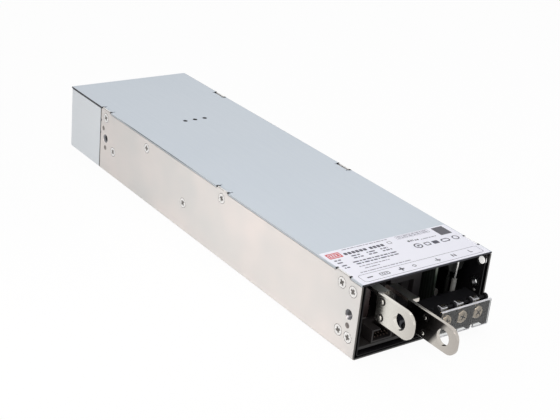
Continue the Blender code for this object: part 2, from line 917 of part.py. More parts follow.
def fan_blades():
    """Seven cambered, twisted blades, as sheets about Z that Solidify thickens."""
    tip_radius = duct_radius - tip_clearance
    root_radius = hub_radius - blade_root_sink
    blades = []
    for number in range(blade_count):
        shape = bmesh.new()
        bmesh.ops.create_grid(shape, x_segments=2, y_segments=3, size=1)
        start = number * math.tau / blade_count
        for vertex in shape.verts:
            outward = (vertex.co.x + 1) / 2
            across = vertex.co.y / 2
            radius = root_radius + outward * (tip_radius - root_radius)
            pitch = root_pitch + outward * (tip_pitch - root_pitch)
            around = across * blade_chord * math.cos(pitch)
            rise = across * blade_chord * math.sin(pitch) + blade_camber * (1 - 4 * across * across)
            angle = start + around / radius
            vertex.co = (radius * math.cos(angle), radius * math.sin(angle), rise)
        blades.append(add_object("blade", shape))
    sheets = gather("blades", blades)
    wall = sheets.modifiers.new("blade wall", "SOLIDIFY")
    wall.thickness = blade_thickness
    wall.offset = 0
    return sheets


def fan_rotor(name, x):
    """The hub that turns on the shaft, with its blades. Its origin is on the shaft."""
    start = fan_front + motor_depth + 2 * seat
    end = fan_rear - hub_set_back
    half = (end - start) / 2
    bore = shaft_radius + seat
    profile = [(0, half)]
    for step in range(3):
        angle = step * math.pi / 4
        profile.append(
            (
                hub_radius - hub_rounding + hub_rounding * math.sin(angle),
                half - hub_rounding + hub_rounding * math.cos(angle),
            )
        )
    profile += [(hub_radius, -half), (bore, -half), (bore, half - hub_rounding), (0, half - hub_rounding)]
    rotor = turned(name, [(profile, False)])
    turn = Matrix.Rotation(-math.pi / 2, 4, "X")
    place = Matrix.Translation((x, (start + end) / 2, fan_z)) @ turn
    rotor.matrix_basis = place
    blades = fan_blades()
    blades.matrix_basis = place
    join(rotor, blades)
    return paint(rotor, fan_plastic)


# Boards

def standoff_places():
    return corner_places(standoff_inset_x, along(standoff_inset_y), parts_rear - standoff_inset_y)


def main_board():
    board = block(
        "main_board",
        (-board_side, along(board_inset), board_height),
        (board_side, parts_rear, board_top),
    )
    holes = []
    for x, y in standoff_places():
        ends = ((x, y, board_height - overrun), (x, y, board_top + overrun))
        holes.append(rod("hole", *ends, board_hole_radius, sides=small_sides))
    cut(board, gather("board_holes", holes))
    return paint(board, board_green)


def standoff(name, x, y):
    """A hexagonal stud between the chassis bottom and the board."""
    stud = rod(
        name,
        (x, y, sheet + seat),
        (x, y, board_height - seat),
        standoff_radius,
        sides=standoff_sides,
    )
    return paint(stud, brass)


def upright_board(name, x, start, length, height):
    board = block(
        name,
        (x - small_board_thickness / 2, start, on_board),
        (x + small_board_thickness / 2, start + length, on_board + height),
    )
    return paint(board, board_green)


# Output bars

def busbar(name, x, low, reach):
    """A flat bar with a bolt hole, two half-sheared bumps, a folded flange and a leg to the board."""
    high = low + bar_height
    middle_z = (low + high) / 2
    hole_y = front - reach
    left = x - bar_thickness / 2
    right = x + bar_thickness / 2
    blade = block(name, (left, hole_y - bar_past_hole, low), (right, front - bar_root, high))
    free_end = lambda middle, way: abs(way.x) > 0.5 and middle.y < 0
    fillet(blade, bar_corner_radius, free_end, segments=6)
    soften(blade, bar_edge_radius, segments=1)
    strip = folded(
        "strip",
        (x, front - bar_root - flange_lap, on_board),
        (left + flange_width, along(leg_from_front), high - bar_edge_radius),
        [(0, 0, 1), (0, 1, 0)],
        radius=bar_bend_radius,
        thickness=bar_thickness,
    )
    join(blade, strip)
    bumps = []
    dents = []
    for sign in (-1, 1):
        centre = Vector((0, hole_y + bump_from_hole, middle_z + sign * bump_pitch / 2))
        bumps.append(
            rod(
                "bump",
                centre + Vector((left - bump_height, 0, 0)),
                centre + Vector((x, 0, 0)),
                bump_radius,
                sides=small_sides,
            )
        )
        dents.append(
            rod(
                "dent",
                centre + Vector((right - bump_height, 0, 0)),
                centre + Vector((right + overrun, 0, 0)),
                bump_radius,
                sides=small_sides,
            )
        )
    join(blade, gather(name + "_bumps", bumps))
    ends = ((left - overrun, hole_y, middle_z), (right + overrun, hole_y, middle_z))
    bolt_hole = rod("bolt_hole", *ends, bar_hole_radius, sides=fine_sides)
    cut(blade, bolt_hole, gather(name + "_dents", dents))
    return paint(blade, tinned_copper)


# Terminal block

def barrier_xs():
    return [first_barrier_x + number * pole_pitch for number in range(pole_count + 1)]


def pole_xs():
    return [(first + last) / 2 for first, last in zip(barrier_xs(), barrier_xs()[1:])]


def terminal_block():
    """The moulded block: a back wall, barriers between the poles and a hinge rod."""
    xs = barrier_xs()
    face = front - block_face
    body = block(
        "terminal_block",
        (xs[0] - barrier_width / 2, face, on_board),
        (xs[-1] + barrier_width / 2, along(block_back), block_top),
    )
    barriers = []
    hinge_y = front - hinge_reach
    for x in xs:
        half = barrier_width / 2
        barrier = block(
            "barrier",
            (x - half, front - barrier_reach, barrier_low),
            (x + half, face + plate_thickness, barrier_top),
        )
        lower_front = lambda middle, way: abs(way.x) > 0.5 and middle.y < 0 and middle.z < 0
        fillet(barrier, barrier_width, lower_front, segments=bend_steps)
        ends = ((x - half, hinge_y, hinge_height), (x + half, hinge_y, hinge_height))
        ear = rod("ear", *ends, hinge_ear_radius, sides=hole_sides)
        join(body, barrier, ear)
    hinge = rod(
        "hinge",
        (xs[0], hinge_y, hinge_height),
        (xs[-1], hinge_y, hinge_height),
        hinge_pin_radius,
        sides=small_sides,
    )
    join(body, hinge)
    holes = []
    for x in pole_xs():
        ends = ((x, face - overrun, pole_screw_height), (x, face + pole_screw_length, pole_screw_height))
        holes.append(rod("hole", *ends, pole_screw_radius + seat, sides=small_sides))
    recesses = [
        block(
            "recess",
            (x - plate_width / 2 - seat, along(block_back) - plate_thickness, block_top - plate_thickness),
            (x + plate_width / 2 + seat, along(block_back) + overrun, block_top + overrun),
        )
        for x in pole_xs()
    ]
    cut(body, gather("block_holes", holes), gather("block_recesses", recesses))
    return paint(body, black_plastic)


def terminal_plate(name, x):
    """The metal plate that a ring lug is screwed against."""
    back = front - block_face - seat
    plate = block(
        name,
        (x - plate_width / 2, back - plate_thickness, pole_screw_height - plate_height / 2),
        (x + plate_width / 2, back, pole_screw_height + plate_height / 2),
    )
    across = lambda middle, way: abs(way.y) > 0.5
    fillet(plate, plate_thickness / 2, across, segments=1)
    ends = ((x, back - overrun, pole_screw_height), (x, back + overrun, pole_screw_height))
    cut(plate, rod("hole", *ends, pole_screw_radius + seat, sides=small_sides))
    return paint(plate, brass)


def plate_front():
    return front - block_face - seat - plate_thickness


def terminal_clamp(name, x):
    """The square washer under the screw's head."""
    back = plate_front() - clamp_lift
    clamp = block(
        name,
        (x - clamp_size / 2, back - clamp_thickness, pole_screw_height - clamp_size / 2),
        (x + clamp_size / 2, back, pole_screw_height + clamp_size / 2),
    )
    across = lambda middle, way: abs(way.y) > 0.5
    fillet(clamp, clamp_thickness, across, segments=1)
    ends = ((x, back - overrun, pole_screw_height), (x, back + overrun, pole_screw_height))
    cut(clamp, rod("hole", *ends, pole_screw_radius + seat, sides=small_sides))
    return paint(clamp, tinned_copper)


def terminal_screw(name, x):
    """A pan-head screw with a crossed slot, turned about its own axis."""
    back = plate_front() - clamp_lift - clamp_thickness - seat
    tip = pole_screw_length - block_face
    length = front + tip - back
    half_head = pole_head_radius - pole_head_depth / 3
    profile = [
        (0, pole_head_depth),
        (half_head, pole_head_depth),
        (pole_head_radius, pole_head_depth / 2),
        (pole_head_radius, 0),
        (pole_screw_radius, 0),
        (pole_screw_radius, -length + pole_screw_radius),
        (pole_screw_radius / 2, -length),
        (0, -length),
    ]
    screw = turned(name, [(profile, False)], steps=hole_sides)
    turn = Matrix.Rotation(math.pi / 2, 4, "X")
    place = Matrix.Translation((x, back, pole_screw_height)) @ turn
    screw.matrix_basis = place
    reach = pole_head_radius * pole_slot_share
    slots = []
    for quarter in range(2):
        slot = block(
            "slot",
            (-reach, -pole_slot_width / 2, pole_head_depth - pole_slot_depth),
            (reach, pole_slot_width / 2, pole_head_depth + overrun),
        )
        swing = Matrix.Rotation(quarter * math.pi / 2, 4, "Z")
        slot.matrix_basis = place @ swing @ slot.matrix_basis
        slots.append(slot)
    cut(screw, *slots)
    return paint(screw, brass)


def terminal_cover():
    """The clear cover. It turns about the hinge rod, and its origin is on that axis."""
    xs = barrier_xs()
    inside = front - barrier_reach - cover_gap
    outside = inside - cover_thickness
    axis_y = front - hinge_reach
    top = hinge_height + cover_rise
    panel = block(
        "terminal_cover",
        (xs[0] - cover_overlap, outside, cover_low),
        (xs[-1] + cover_overlap, inside, top),
    )
    pivot = Vector((0, axis_y, hinge_height))
    panel.data.transform(Matrix.Translation(panel.location - pivot))
    panel.location = pivot
    notches = []
    for x in xs[1:-1]:
        notches.append(
            block(
                "notch",
                (x - cover_notch / 2, outside - overrun, cover_low - overrun),
                (x + cover_notch / 2, inside + overrun, cover_low + cover_notch),
            )
        )
    cut(panel, gather("cover_notches", notches))
    for x in xs[:-1]:
        start = x + barrier_width / 2 + cover_lug_offset
        end = start + cover_lug_width
        ends = ((start, axis_y, hinge_height), (end, axis_y, hinge_height))
        ring = rod("ring", *ends, hinge_ring_radius, sides=hole_sides)
        web = block(
            "web",
            (start, inside - cover_thickness / 2, top - cover_web),
            (end, axis_y, top),
        )
        join(panel, web, ring)
    bore = rod(
        "bore",
        (xs[0] - cover_overlap - overrun, axis_y, hinge_height),
        (xs[-1] + cover_overlap + overrun, axis_y, hinge_height),
        hinge_pin_radius + seat,
        sides=small_sides,
    )
    cut(panel, bore)
    return paint(panel, clear_plastic)


# Control connector, trimmer and status light

def control_connector():
    """A shrouded two-row pin header that faces out of the open end."""
    half = connector_width / 2
    mouth = along(board_inset)
    back = mouth + connector_depth
    floor = mouth + socket_depth
    low = on_board
    high = on_board + connector_height
    body = block(
        "control_connector",
        (connector_centre_x - half, mouth, low),
        (connector_centre_x + half, back, high),
    )
    socket = block(
        "socket",
        (connector_centre_x - half + connector_wall, mouth - overrun, low + connector_wall),
        (connector_centre_x + half - connector_wall, floor, high - connector_wall),
    )
    key = block(
        "key",
        (connector_centre_x - key_width / 2, mouth - overrun, high - 2 * connector_wall),
        (connector_centre_x + key_width / 2, floor - connector_wall, high + overrun),
    )
    cut(body, socket, key)
    pins = []
    for column in range(pin_columns):
        for row in range(pin_rows):
            x = connector_centre_x + (column - (pin_columns - 1) / 2) * pin_pitch
            z = (low + high) / 2 + (row - (pin_rows - 1) / 2) * pin_pitch
            pins.append(
                block(
                    "pin",
                    (x - pin_side / 2, floor - pin_length, z - pin_side / 2),
                    (x + pin_side / 2, floor + pin_side, z + pin_side / 2),
                )
            )
    join(body, gather("header_pins", pins))
    return paint(body, black_plastic)


def trimmer_face():
    return along(board_inset + overrun)


def trimmer_body():
    """The square body of the output adjuster, with a round recess for its screw."""
    face = trimmer_face()
    half = trimmer_size / 2
    centre_z = on_board + half
    body = block(
        "trimmer_body",
        (trimmer_centre_x - half, face, on_board),
        (trimmer_centre_x + half, face + trimmer_depth, on_board + trimmer_size),
    )
    soften(body, seat, segments=1)
    ends = (
        (trimmer_centre_x, face - overrun, centre_z),
        (trimmer_centre_x, face + trimmer_screw_length - trimmer_screw_proud + seat, centre_z),
    )
    cut(body, rod("recess", *ends, trimmer_screw_radius + seat, sides=hole_sides))
    return paint(body, blue_plastic)


def trimmer_screw():
    """The slotted brass screw that turns in the trimmer. Its origin is on its axis."""
    start = trimmer_face() - trimmer_screw_proud
    centre = Vector((trimmer_centre_x, start, on_board + trimmer_size / 2))
    tip = centre + Vector((0, trimmer_screw_length, 0))
    screw = rod("trimmer_screw", centre, tip, trimmer_screw_radius, sides=hole_sides)
    slot = block(
        "slot",
        centre + Vector((-trimmer_slot / 2, -overrun, -trimmer_screw_radius - overrun)),
        centre + Vector((trimmer_slot / 2, trimmer_slot_depth, trimmer_screw_radius + overrun)),
    )
    cut(screw, slot)
    return paint(screw, brass)


def status_light():
    """A round light with a flange, on a stem that stands on the board."""
    z = on_board + light_rise
    start = along(board_inset)
    profile = []
    for step in range(light_steps + 1):
        angle = step * math.pi / (2 * light_steps)
        rise = light_length - light_radius + light_radius * math.cos(angle)
        profile.append((light_radius * math.sin(angle), rise))
    profile += [
        (light_radius, light_flange),
        (light_flange_radius, light_flange),
        (light_flange_radius, 0),
        (0, 0),
    ]
    lamp = turned("status_light", [(profile, False)], steps=small_sides)
    turn = Matrix.Rotation(math.pi / 2, 4, "X")
    lamp.matrix_basis = Matrix.Translation((light_centre_x, start + light_length, z)) @ turn
    stem = block(
        "stem",
        (light_centre_x - light_stem / 2, start + light_length - light_flange / 2, on_board),
        (light_centre_x + light_stem / 2, start + light_length + light_stem, z + light_stem / 2),
    )
    join(lamp, stem)
    return paint(lamp, lamp_green)


# Parts on the board

def can_profile(radius, length):
    """The side view of an electrolytic capacitor: a rounded can with a rolled groove."""
    half = length / 2
    groove = half - length * can_groove_share
    return [
        (0, half),
        (radius - can_rounding, half),
        (radius, half - can_rounding),
        (radius, groove + can_groove),
        (radius - can_groove, groove),
        (radius, groove - can_groove),
        (radius, -half + can_rounding),
        (radius - can_rounding, -half),
        (0, -half),
    ]


def standing_capacitor(name, x, y):
    profile = can_profile(output_capacitor_radius, output_capacitor_height)
    can = turned(name, [(profile, False)], steps=hole_sides)
    upside_down = Matrix.Rotation(math.pi, 4, "X")
    can.matrix_basis = Matrix.Translation((x, y, on_board + output_capacitor_height / 2)) @ upside_down
    return paint(can, can_sleeve)


def lying_capacitor(name, x, start):
    can = turned(name, [(can_profile(bulk_radius, bulk_length), False)])
    turn = Matrix.Rotation(-math.pi / 2, 4, "X")
    place = (x, start + bulk_length / 2, on_board + bulk_radius)
    can.matrix_basis = Matrix.Translation(place) @ turn
    return paint(can, can_sleeve)


def line_choke(name, x, start):
    """A filter choke: a square core frame with two wound bobbins on it."""
    low = on_board
    high = on_board + line_choke_height
    half = line_choke_width / 2
    end = start + line_choke_length
    core = block(name, (x - half, start + choke_flange, low), (x + half, end - choke_flange, high))
    window = block(
        "window",
        (x - half + choke_leg, start - overrun, low + choke_leg),
        (x + half - choke_leg, end + overrun, high - choke_leg),
    )
    cut(core, window)
    for sign in (-1, 1):
        centre = x + sign * (half - choke_leg / 2)
        coil = rod(
            "coil",
            (centre, (start + end) / 2, low + choke_leg),
            (centre, (start + end) / 2, high - choke_leg),
            choke_coil_radius,
            sides=hole_sides,
        )
        join(core, coil)
    return paint(core, black_plastic)


def film_capacitor(name, x, start):
    box = block(
        name,
        (x - film_capacitor_width / 2, start, on_board),
        (x + film_capacitor_width / 2, start + film_capacitor_length, on_board + film_capacitor_height),
    )
    soften(box, small_rounding, segments=1)
    return paint(box, film_box)


def thermistor():
    """A dark disc on two wire legs, each leg with a sleeve."""
    y = along(thermistor_start)
    top = thermistor_top
    disc = rod(
        "inrush_thermistor",
        (thermistor_x, y - thermistor_thickness / 2, top - thermistor_radius),
        (thermistor_x, y + thermistor_thickness / 2, top - thermistor_radius),
        thermistor_radius,
        sides=small_sides,
    )
    for sign in (-1, 1):
        x = thermistor_x + sign * thermistor_pitch / 2
        leg = rod("leg", (x, y, on_board), (x, y, top - thermistor_radius), lead_radius, sides=small_sides)
        sleeve = rod(
            "sleeve",
            (x, y, on_board + seat),
            (x, y, on_board + sleeve_height),
            sleeve_radius,
            sides=small_sides,
        )
        join(disc, leg, sleeve)
    return paint(disc, dark_disc)


def line_fuse(start):
    """A tube fuse with metal caps, on two feet."""
    z = on_board + fuse_radius + seat
    profile = [
        (0, fuse_length / 2),
        (fuse_radius, fuse_length / 2),
        (fuse_radius, fuse_length / 2 - fuse_cap),
        (fuse_radius - fuse_glass_inset, fuse_length / 2 - fuse_cap),
        (fuse_radius - fuse_glass_inset, fuse_cap - fuse_length / 2),
        (fuse_radius, fuse_cap - fuse_length / 2),
        (fuse_radius, -fuse_length / 2),
        (0, -fuse_length / 2),
    ]
    fuse = turned("line_fuse", [(profile, False)], steps=hole_sides)
    turn = Matrix.Rotation(-math.pi / 2, 4, "X")
    fuse.matrix_basis = Matrix.Translation((fuse_x, start + fuse_length / 2, z)) @ turn
    for y in (start + fuse_cap / 2, start + fuse_length - fuse_cap / 2):
        foot = block(
            "foot",
            (fuse_x - fuse_radius / 2, y - fuse_cap / 4, on_board),
            (fuse_x + fuse_radius / 2, y + fuse_cap / 4, z),
        )
        join(fuse, foot)
    return paint(fuse, fuse_body)


def relay(start):
    box = block(
        "inrush_relay",
        (relay_x - relay_width / 2, start, on_board),
        (relay_x + relay_width / 2, start + relay_length, on_board + relay_height),
    )
    soften(box, small_rounding, segments=1)
    return paint(box, black_plastic)


def bridge_rectifier(start):
    """A flat power package that stands against its own heatsink."""
    body = block(
        "bridge_rectifier",
        (rectifier_x - rectifier_width / 2, start, on_board + rectifier_thickness),
        (rectifier_x + rectifier_width / 2, start + rectifier_thickness, on_board + rectifier_height),
    )
    soften(body, seat)
    middle = start + rectifier_thickness / 2
    leg_top = on_board + 2 * rectifier_thickness
    pitch = rectifier_width / (rectifier_legs + 1)
    for number in range(rectifier_legs):
        x = rectifier_x + (number - (rectifier_legs - 1) / 2) * pitch
        leg = block(
            "leg",
            (x - lead_radius, middle - lead_radius, on_board),
            (x + lead_radius, middle + lead_radius, leg_top),
        )
        join(body, leg)
    z = on_board + rectifier_height - rectifier_thickness
    ends = ((rectifier_x, start - overrun, z), (rectifier_x, middle + overrun + rectifier_thickness, z))
    cut(body, rod("hole", *ends, screw_radius, sides=small_sides))
    return paint(body, black_plastic)


def heatsink(name, x, start, length, way):
    """An extruded heatsink: an upright plate with fins on the side that way points to."""
    top = on_board + sink_height
    reach = sink_base + sink_fin_length
    xs = sorted((x, x + way * reach))
    body = block(name, (xs[0], start, on_board), (xs[1], start + length, top))
    slots = []
    pitch = sink_fin + sink_fin_gap
    count = int((sink_height - sink_fin) / pitch)
    for number in range(count):
        low = on_board + sink_fin + number * pitch
        xs = sorted((x + way * sink_base, x + way * (reach + overrun)))
        slots.append(
            block(
                "slot",
                (xs[0], start - overrun, low),
                (xs[1], start + length + overrun, low + sink_fin_gap),
            )
        )
    cut(body, gather(name + "_slots", slots))
    return paint(body, aluminium)


def transformer_core(start):
    """A ferrite core: a closed frame with a centre leg."""
    half = transformer_width / 2
    low = on_board
    high = on_board + transformer_height
    middle = start + transformer_length / 2
    core = block(
        "transformer_core",
        (transformer_x - half, middle - core_thickness / 2, low),
        (transformer_x + half, middle + core_thickness / 2, high),
    )
    windows = []
    for sign in (-1, 1):
        xs = sorted((transformer_x + sign * core_leg, transformer_x + sign * (half - core_leg)))
        windows.append(
            block(
                "window",
                (xs[0], start - overrun, low + core_leg),
                (xs[1], start + transformer_length + overrun, high - core_leg),
            )
        )
    cut(core, gather("core_windows", windows))
    return paint(core, ferrite)


def transformer_winding(start):
    """The taped winding around the core's centre leg."""
    low = on_board + core_leg + winding_clearance
    high = on_board + transformer_height - core_leg - winding_clearance
    reach = transformer_width / 2 - core_leg - winding_clearance
    winding = block(
        "transformer_winding",
        (transformer_x - reach, start, low),
        (transformer_x + reach, start + transformer_length, high),
    )
    upright = lambda middle, way: abs(way.z) > 0.5
    fillet(winding, core_leg, upright)
    hole = block(
        "leg_hole",
        (
            transformer_x - core_leg - winding_clearance,
            start + (transformer_length - core_thickness) / 2 - winding_clearance,
            low - overrun,
        ),
        (
            transformer_x + core_leg + winding_clearance,
            start + (transformer_length + core_thickness) / 2 + winding_clearance,
            high + overrun,
        ),
    )
    cut(winding, hole)
    return paint(winding, winding_tape)


def toroid(name, x, start, middle_radius, tube):
    """A ring choke that stands on edge. Its winding shows as ridges around the ring."""
    shape = bmesh.new()
    rings = toroid_turns * 2
    rows = []
    for ring in range(rings):
        angle = ring * math.tau / rings
        swell = 1 + (toroid_swell_share if ring % 2 else 0)
        row = []
        for number in range(toroid_sides):
            around = number * math.tau / toroid_sides
            radius = middle_radius + tube * swell * math.cos(around)
            row.append(
                shape.verts.new(
                    (
                        radius * math.cos(angle),
                        tube * swell * math.sin(around),
                        radius * math.sin(angle),
                    )
                )
            )
        rows.append(row)
    for first, second in zip(rows, rows[1:] + rows[:1]):
        for number in range(toroid_sides):
            following = (number + 1) % toroid_sides
            shape.faces.new((first[number], first[following], second[following], second[number]))
    bmesh.ops.recalc_face_normals(shape, faces=shape.faces)
    ring = add_object(name, shape)
    depth = tube * (1 + toroid_swell_share)
    outer = middle_radius + depth
    ring.location = (x, start + depth, on_board + outer)
    return paint(ring, copper_wire)


def build_case():
    chassis()
    top_cover()
    fan_housing()
    insulation_film()
    for label, sign in (("left", -1), ("right", 1)):
        fan_frame("fan_frame_" + label, sign * fan_x)
        fan_rotor("fan_rotor_" + label, sign * fan_x)


def build_front():
    busbar("busbar_negative", negative_x, negative_low, negative_reach)
    busbar("busbar_positive", positive_x, positive_low, positive_reach)
    terminal_block()
    for number, x in enumerate(pole_xs(), start=1):
        terminal_plate(f"terminal_plate_{number}", x)
        terminal_clamp(f"terminal_clamp_{number}", x)
        terminal_screw(f"terminal_screw_{number}", x)
    terminal_cover()
    control_connector()
    trimmer_body()
    trimmer_screw()
    status_light()


def build_boards():
    main_board()
    for number, (x, y) in enumerate(standoff_places(), start=1):
        standoff(f"standoff_{number}", x, y)
    upright_board(
        "filter_board", filter_board_x, along(filter_board_start), filter_board_length, filter_board_height
    )
    board = upright_board(
        "control_board", control_board_x, along(power_start), control_board_length, control_board_height
    )
    half = control_chip_size / 2
    face = control_board_x + small_board_thickness / 2
    middle_y = along(power_start) + control_board_length / 2
    middle = Vector((face, middle_y, on_board + control_board_height / 2))
    chip = block(
        "chip",
        middle + Vector((-small_board_thickness / 2, -half, -half)),
        middle + Vector((control_chip_thickness, half, half)),
    )
    join(board, chip)


def build_output_side():
    """The parts behind the bars, on the left of the board."""
    pitch = 2 * output_capacitor_radius + part_gap / 2
    for row in range(output_capacitor_rows):
        for column in range(output_capacitor_columns):
            number = row * output_capacitor_columns + column + 1
            x = output_capacitor_x + column * pitch
            y = along(capacitors_start) + output_capacitor_radius + row * pitch
            standing_capacitor(f"output_capacitor_{number}", x, y)
    choke_start = along(capacitors_start) + output_capacitor_rows * pitch + part_gap
    toroid("output_choke", output_choke_x, choke_start, output_ring_radius, output_ring_tube)
    sink_x = -board_side + sink_from_film
    heatsink("output_heatsink", sink_x, along(power_start), sink_length, 1)


def build_input_side():
    """The parts behind the terminal block, on the right of the board."""
    start = along(line_chokes_start)
    line_choke("line_choke_1", line_choke_x, start)
    start += line_choke_length + part_gap
    film_capacitor("line_capacitor_1", line_choke_x, start)
    start += film_capacitor_length + part_gap
    line_choke("line_choke_2", line_choke_x, start)
    start += line_choke_length + part_gap / 2
    film_capacitor("line_capacitor_2", line_choke_x, start)
    thermistor()
    start = along(thermistor_start) + thermistor_radius + part_gap
    line_fuse(start)
    start += fuse_length + part_gap
    relay(start)
    start += relay_length + part_gap
    bridge_rectifier(start)
    heatsink(
        "rectifier_heatsink",
        rectifier_x - rectifier_width / 2,
        start + rectifier_thickness + seat,
        rectifier_sink_length,
        1,
    )


def build_power_stage():
    """The transformer, the chokes and the large capacitors in the middle of the case."""
    start = along(power_start)
    transformer_core(start)
    transformer_winding(start)
    sink_x = board_side - sink_from_film
    heatsink("input_heatsink", sink_x, start, sink_length, -1)
    start += transformer_length + part_gap
    toroid("boost_choke", boost_choke_x, start, boost_ring_radius, boost_ring_tube)
    start = along(bulk_start)
    lying_capacitor("bulk_capacitor_1", -bulk_x, start)
    lying_capacitor("bulk_capacitor_2", bulk_x, start)


build_case()
build_front()
build_boards()
build_output_side()
build_input_side()
build_power_stage()
for made in parts.objects:
    shade_round(made)
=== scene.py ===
# %% [markdown]
# # A switching power supply, dressed for its picture
# This lesson takes a finished CAD model of a flat power supply and gives it the surfaces, screws and
# print that a photograph shows. The CAD model arrives as a fixed frame: its pieces stay where they
# are, and everything that is added sits on them.

# %% Tools and the frame
import math

import bmesh
import bpy
from mathutils import Matrix, Vector


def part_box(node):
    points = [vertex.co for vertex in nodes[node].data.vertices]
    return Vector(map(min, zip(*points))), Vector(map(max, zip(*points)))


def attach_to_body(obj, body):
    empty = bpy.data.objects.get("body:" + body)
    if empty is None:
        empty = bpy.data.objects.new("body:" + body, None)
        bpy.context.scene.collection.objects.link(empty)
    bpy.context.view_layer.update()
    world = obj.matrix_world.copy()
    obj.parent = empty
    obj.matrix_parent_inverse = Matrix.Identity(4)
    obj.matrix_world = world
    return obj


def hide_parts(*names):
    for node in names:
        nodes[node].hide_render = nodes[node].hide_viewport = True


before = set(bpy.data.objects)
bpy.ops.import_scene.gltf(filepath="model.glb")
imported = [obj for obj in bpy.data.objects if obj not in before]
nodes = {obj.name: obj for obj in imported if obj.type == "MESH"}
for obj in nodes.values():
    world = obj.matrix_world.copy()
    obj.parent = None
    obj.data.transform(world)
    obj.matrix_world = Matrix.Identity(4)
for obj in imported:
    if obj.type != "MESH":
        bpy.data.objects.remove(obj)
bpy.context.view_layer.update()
mm = 0.001
print("CAD nodes:", len(nodes))

# %% [markdown]
# ## The camera
# The photograph was taken from the left of the open end, a little above the case and slightly
# tilted. A long lens a short way off gives the mild perspective. The place and turn come from
# matching the six case corners that the photograph shows.

# %% Camera
camera_place = Vector((-0.3784, -0.5117, 0.2956))
camera_azimuth = math.radians(-37.99)
camera_elevation = math.radians(24.15)
camera_roll = math.radians(6.01)
camera_lens = 76.17
sensor_width = 36
near_clip = 10 * mm


def camera_turn():
    """The rotation that looks at the object from the azimuth and elevation, with the roll."""
    back = Vector(
        (
            math.sin(camera_azimuth) * math.cos(camera_elevation),
            -math.cos(camera_azimuth) * math.cos(camera_elevation),
            math.sin(camera_elevation),
        )
    )
    right = (-back).cross(Vector((0, 0, 1))).normalized()
    up = right.cross(-back).normalized()
    right_rolled = math.cos(camera_roll) * right + math.sin(camera_roll) * up
    up_rolled = math.cos(camera_roll) * up - math.sin(camera_roll) * right
    return Matrix((right_rolled, up_rolled, back)).transposed()


lens = bpy.data.cameras.new("camera")
lens.lens = camera_lens
lens.sensor_width = sensor_width
lens.clip_start = near_clip
camera = bpy.data.objects.new("camera", lens)
camera.matrix_world = Matrix.Translation(camera_place) @ camera_turn().to_4x4()
bpy.context.collection.objects.link(camera)
bpy.context.scene.camera = camera
bpy.context.scene.view_settings.view_transform = "Standard"
print("camera at", [round(v, 3) for v in camera_place])

# %% [markdown]
# ## Nodes by a short call
# Every finish below is a small tree of shader nodes. One helper adds a node and joins its inputs,
# so that each material reads as a list of what feeds what.

# %% A helper for shader nodes
def add_node(tree, kind, values=None, **inputs):
    """Adds a node. Values set its own options, and inputs are numbers or sockets to join."""
    node = tree.nodes.new(kind)
    for name, value in (values or {}).items():
        setattr(node, name, value)
    for name, value in inputs.items():
        socket = node.inputs[int(name[1:]) if name[0] == "_" else name.replace("_", " ")]
        if isinstance(value, bpy.types.NodeSocket):
            tree.links.new(value, socket)
        else:
            socket.default_value = value
    return node


def calculate(tree, operation, *values):
    """The result of a Math node on one to three numbers or sockets."""
    inputs = {f"_{index}": value for index, value in enumerate(values)}
    return add_node(tree, "ShaderNodeMath", {"operation": operation}, **inputs).outputs[0]


def new_material(name, colour, roughness, metallic=0.0):
    """A material with a plain Principled shader, and its tree and shader for what is added."""
    material = bpy.data.materials.new(name)
    material.use_nodes = True
    shader = material.node_tree.nodes["Principled BSDF"]
    shader.inputs["Base Color"].default_value = (*colour, 1)
    shader.inputs["Roughness"].default_value = roughness
    shader.inputs["Metallic"].default_value = metallic
    return material, material.node_tree, shader


def ramp(tree, factor, stops):
    """A colour ramp with these (place, colour) stops."""
    node = add_node(tree, "ShaderNodeValToRGB", Fac=factor)
    marks = node.color_ramp.elements
    while len(marks) < len(stops):
        marks.new(0.5)
    for mark, (place, colour) in zip(marks, stops):
        mark.position = place
        mark.color = (*colour, 1)
    return node.outputs["Color"]


print("node helpers ready")

# %% [markdown]
# ## Light, floor and backdrop
# The photograph has a plain white studio around the object. The world and the floor are white to
# the camera and to whatever mirrors them, and give a softer, plain light to everything else, so
# that colours come out as they are written and the floor still takes a shadow.

# %% World
light_level = 0.42


def seen_directly(tree):
    """1 for camera, glossy and transmission rays, and 0 for the light that falls on things."""
    path = add_node(tree, "ShaderNodeLightPath").outputs
    either = calculate(tree, "MAXIMUM", path["Is Camera Ray"], path["Is Glossy Ray"])
    return calculate(tree, "MAXIMUM", either, path["Is Transmission Ray"])


world = bpy.data.worlds.new("studio")
bpy.context.scene.world = world
world.use_nodes = True
world.node_tree.nodes.clear()
sky_level = add_node(
    world.node_tree,
    "ShaderNodeMapRange",
    Value=seen_directly(world.node_tree),
    To_Min=light_level,
    To_Max=1.0,
)
sky = add_node(
    world.node_tree,
    "ShaderNodeBackground",
    Color=(1, 1, 1, 1),
    Strength=sky_level.outputs["Result"],
)
add_node(world.node_tree, "ShaderNodeOutputWorld", Surface=sky.outputs[0])
print("world light level:", light_level)

# %% [markdown]
# ## The floor
# A photographer lays such an object on white paper that runs out of the picture. A plain white plane
# would turn grey wherever less light falls on it. So a matte shader is mixed with a glow that only
# the camera and mirrors see: the paper stays white, and a faint shadow stays under the case.

# %% Floor
floor_reach = 4.0
floor_glow = 0.95
floor_white = (0.9, 0.9, 0.9, 1)

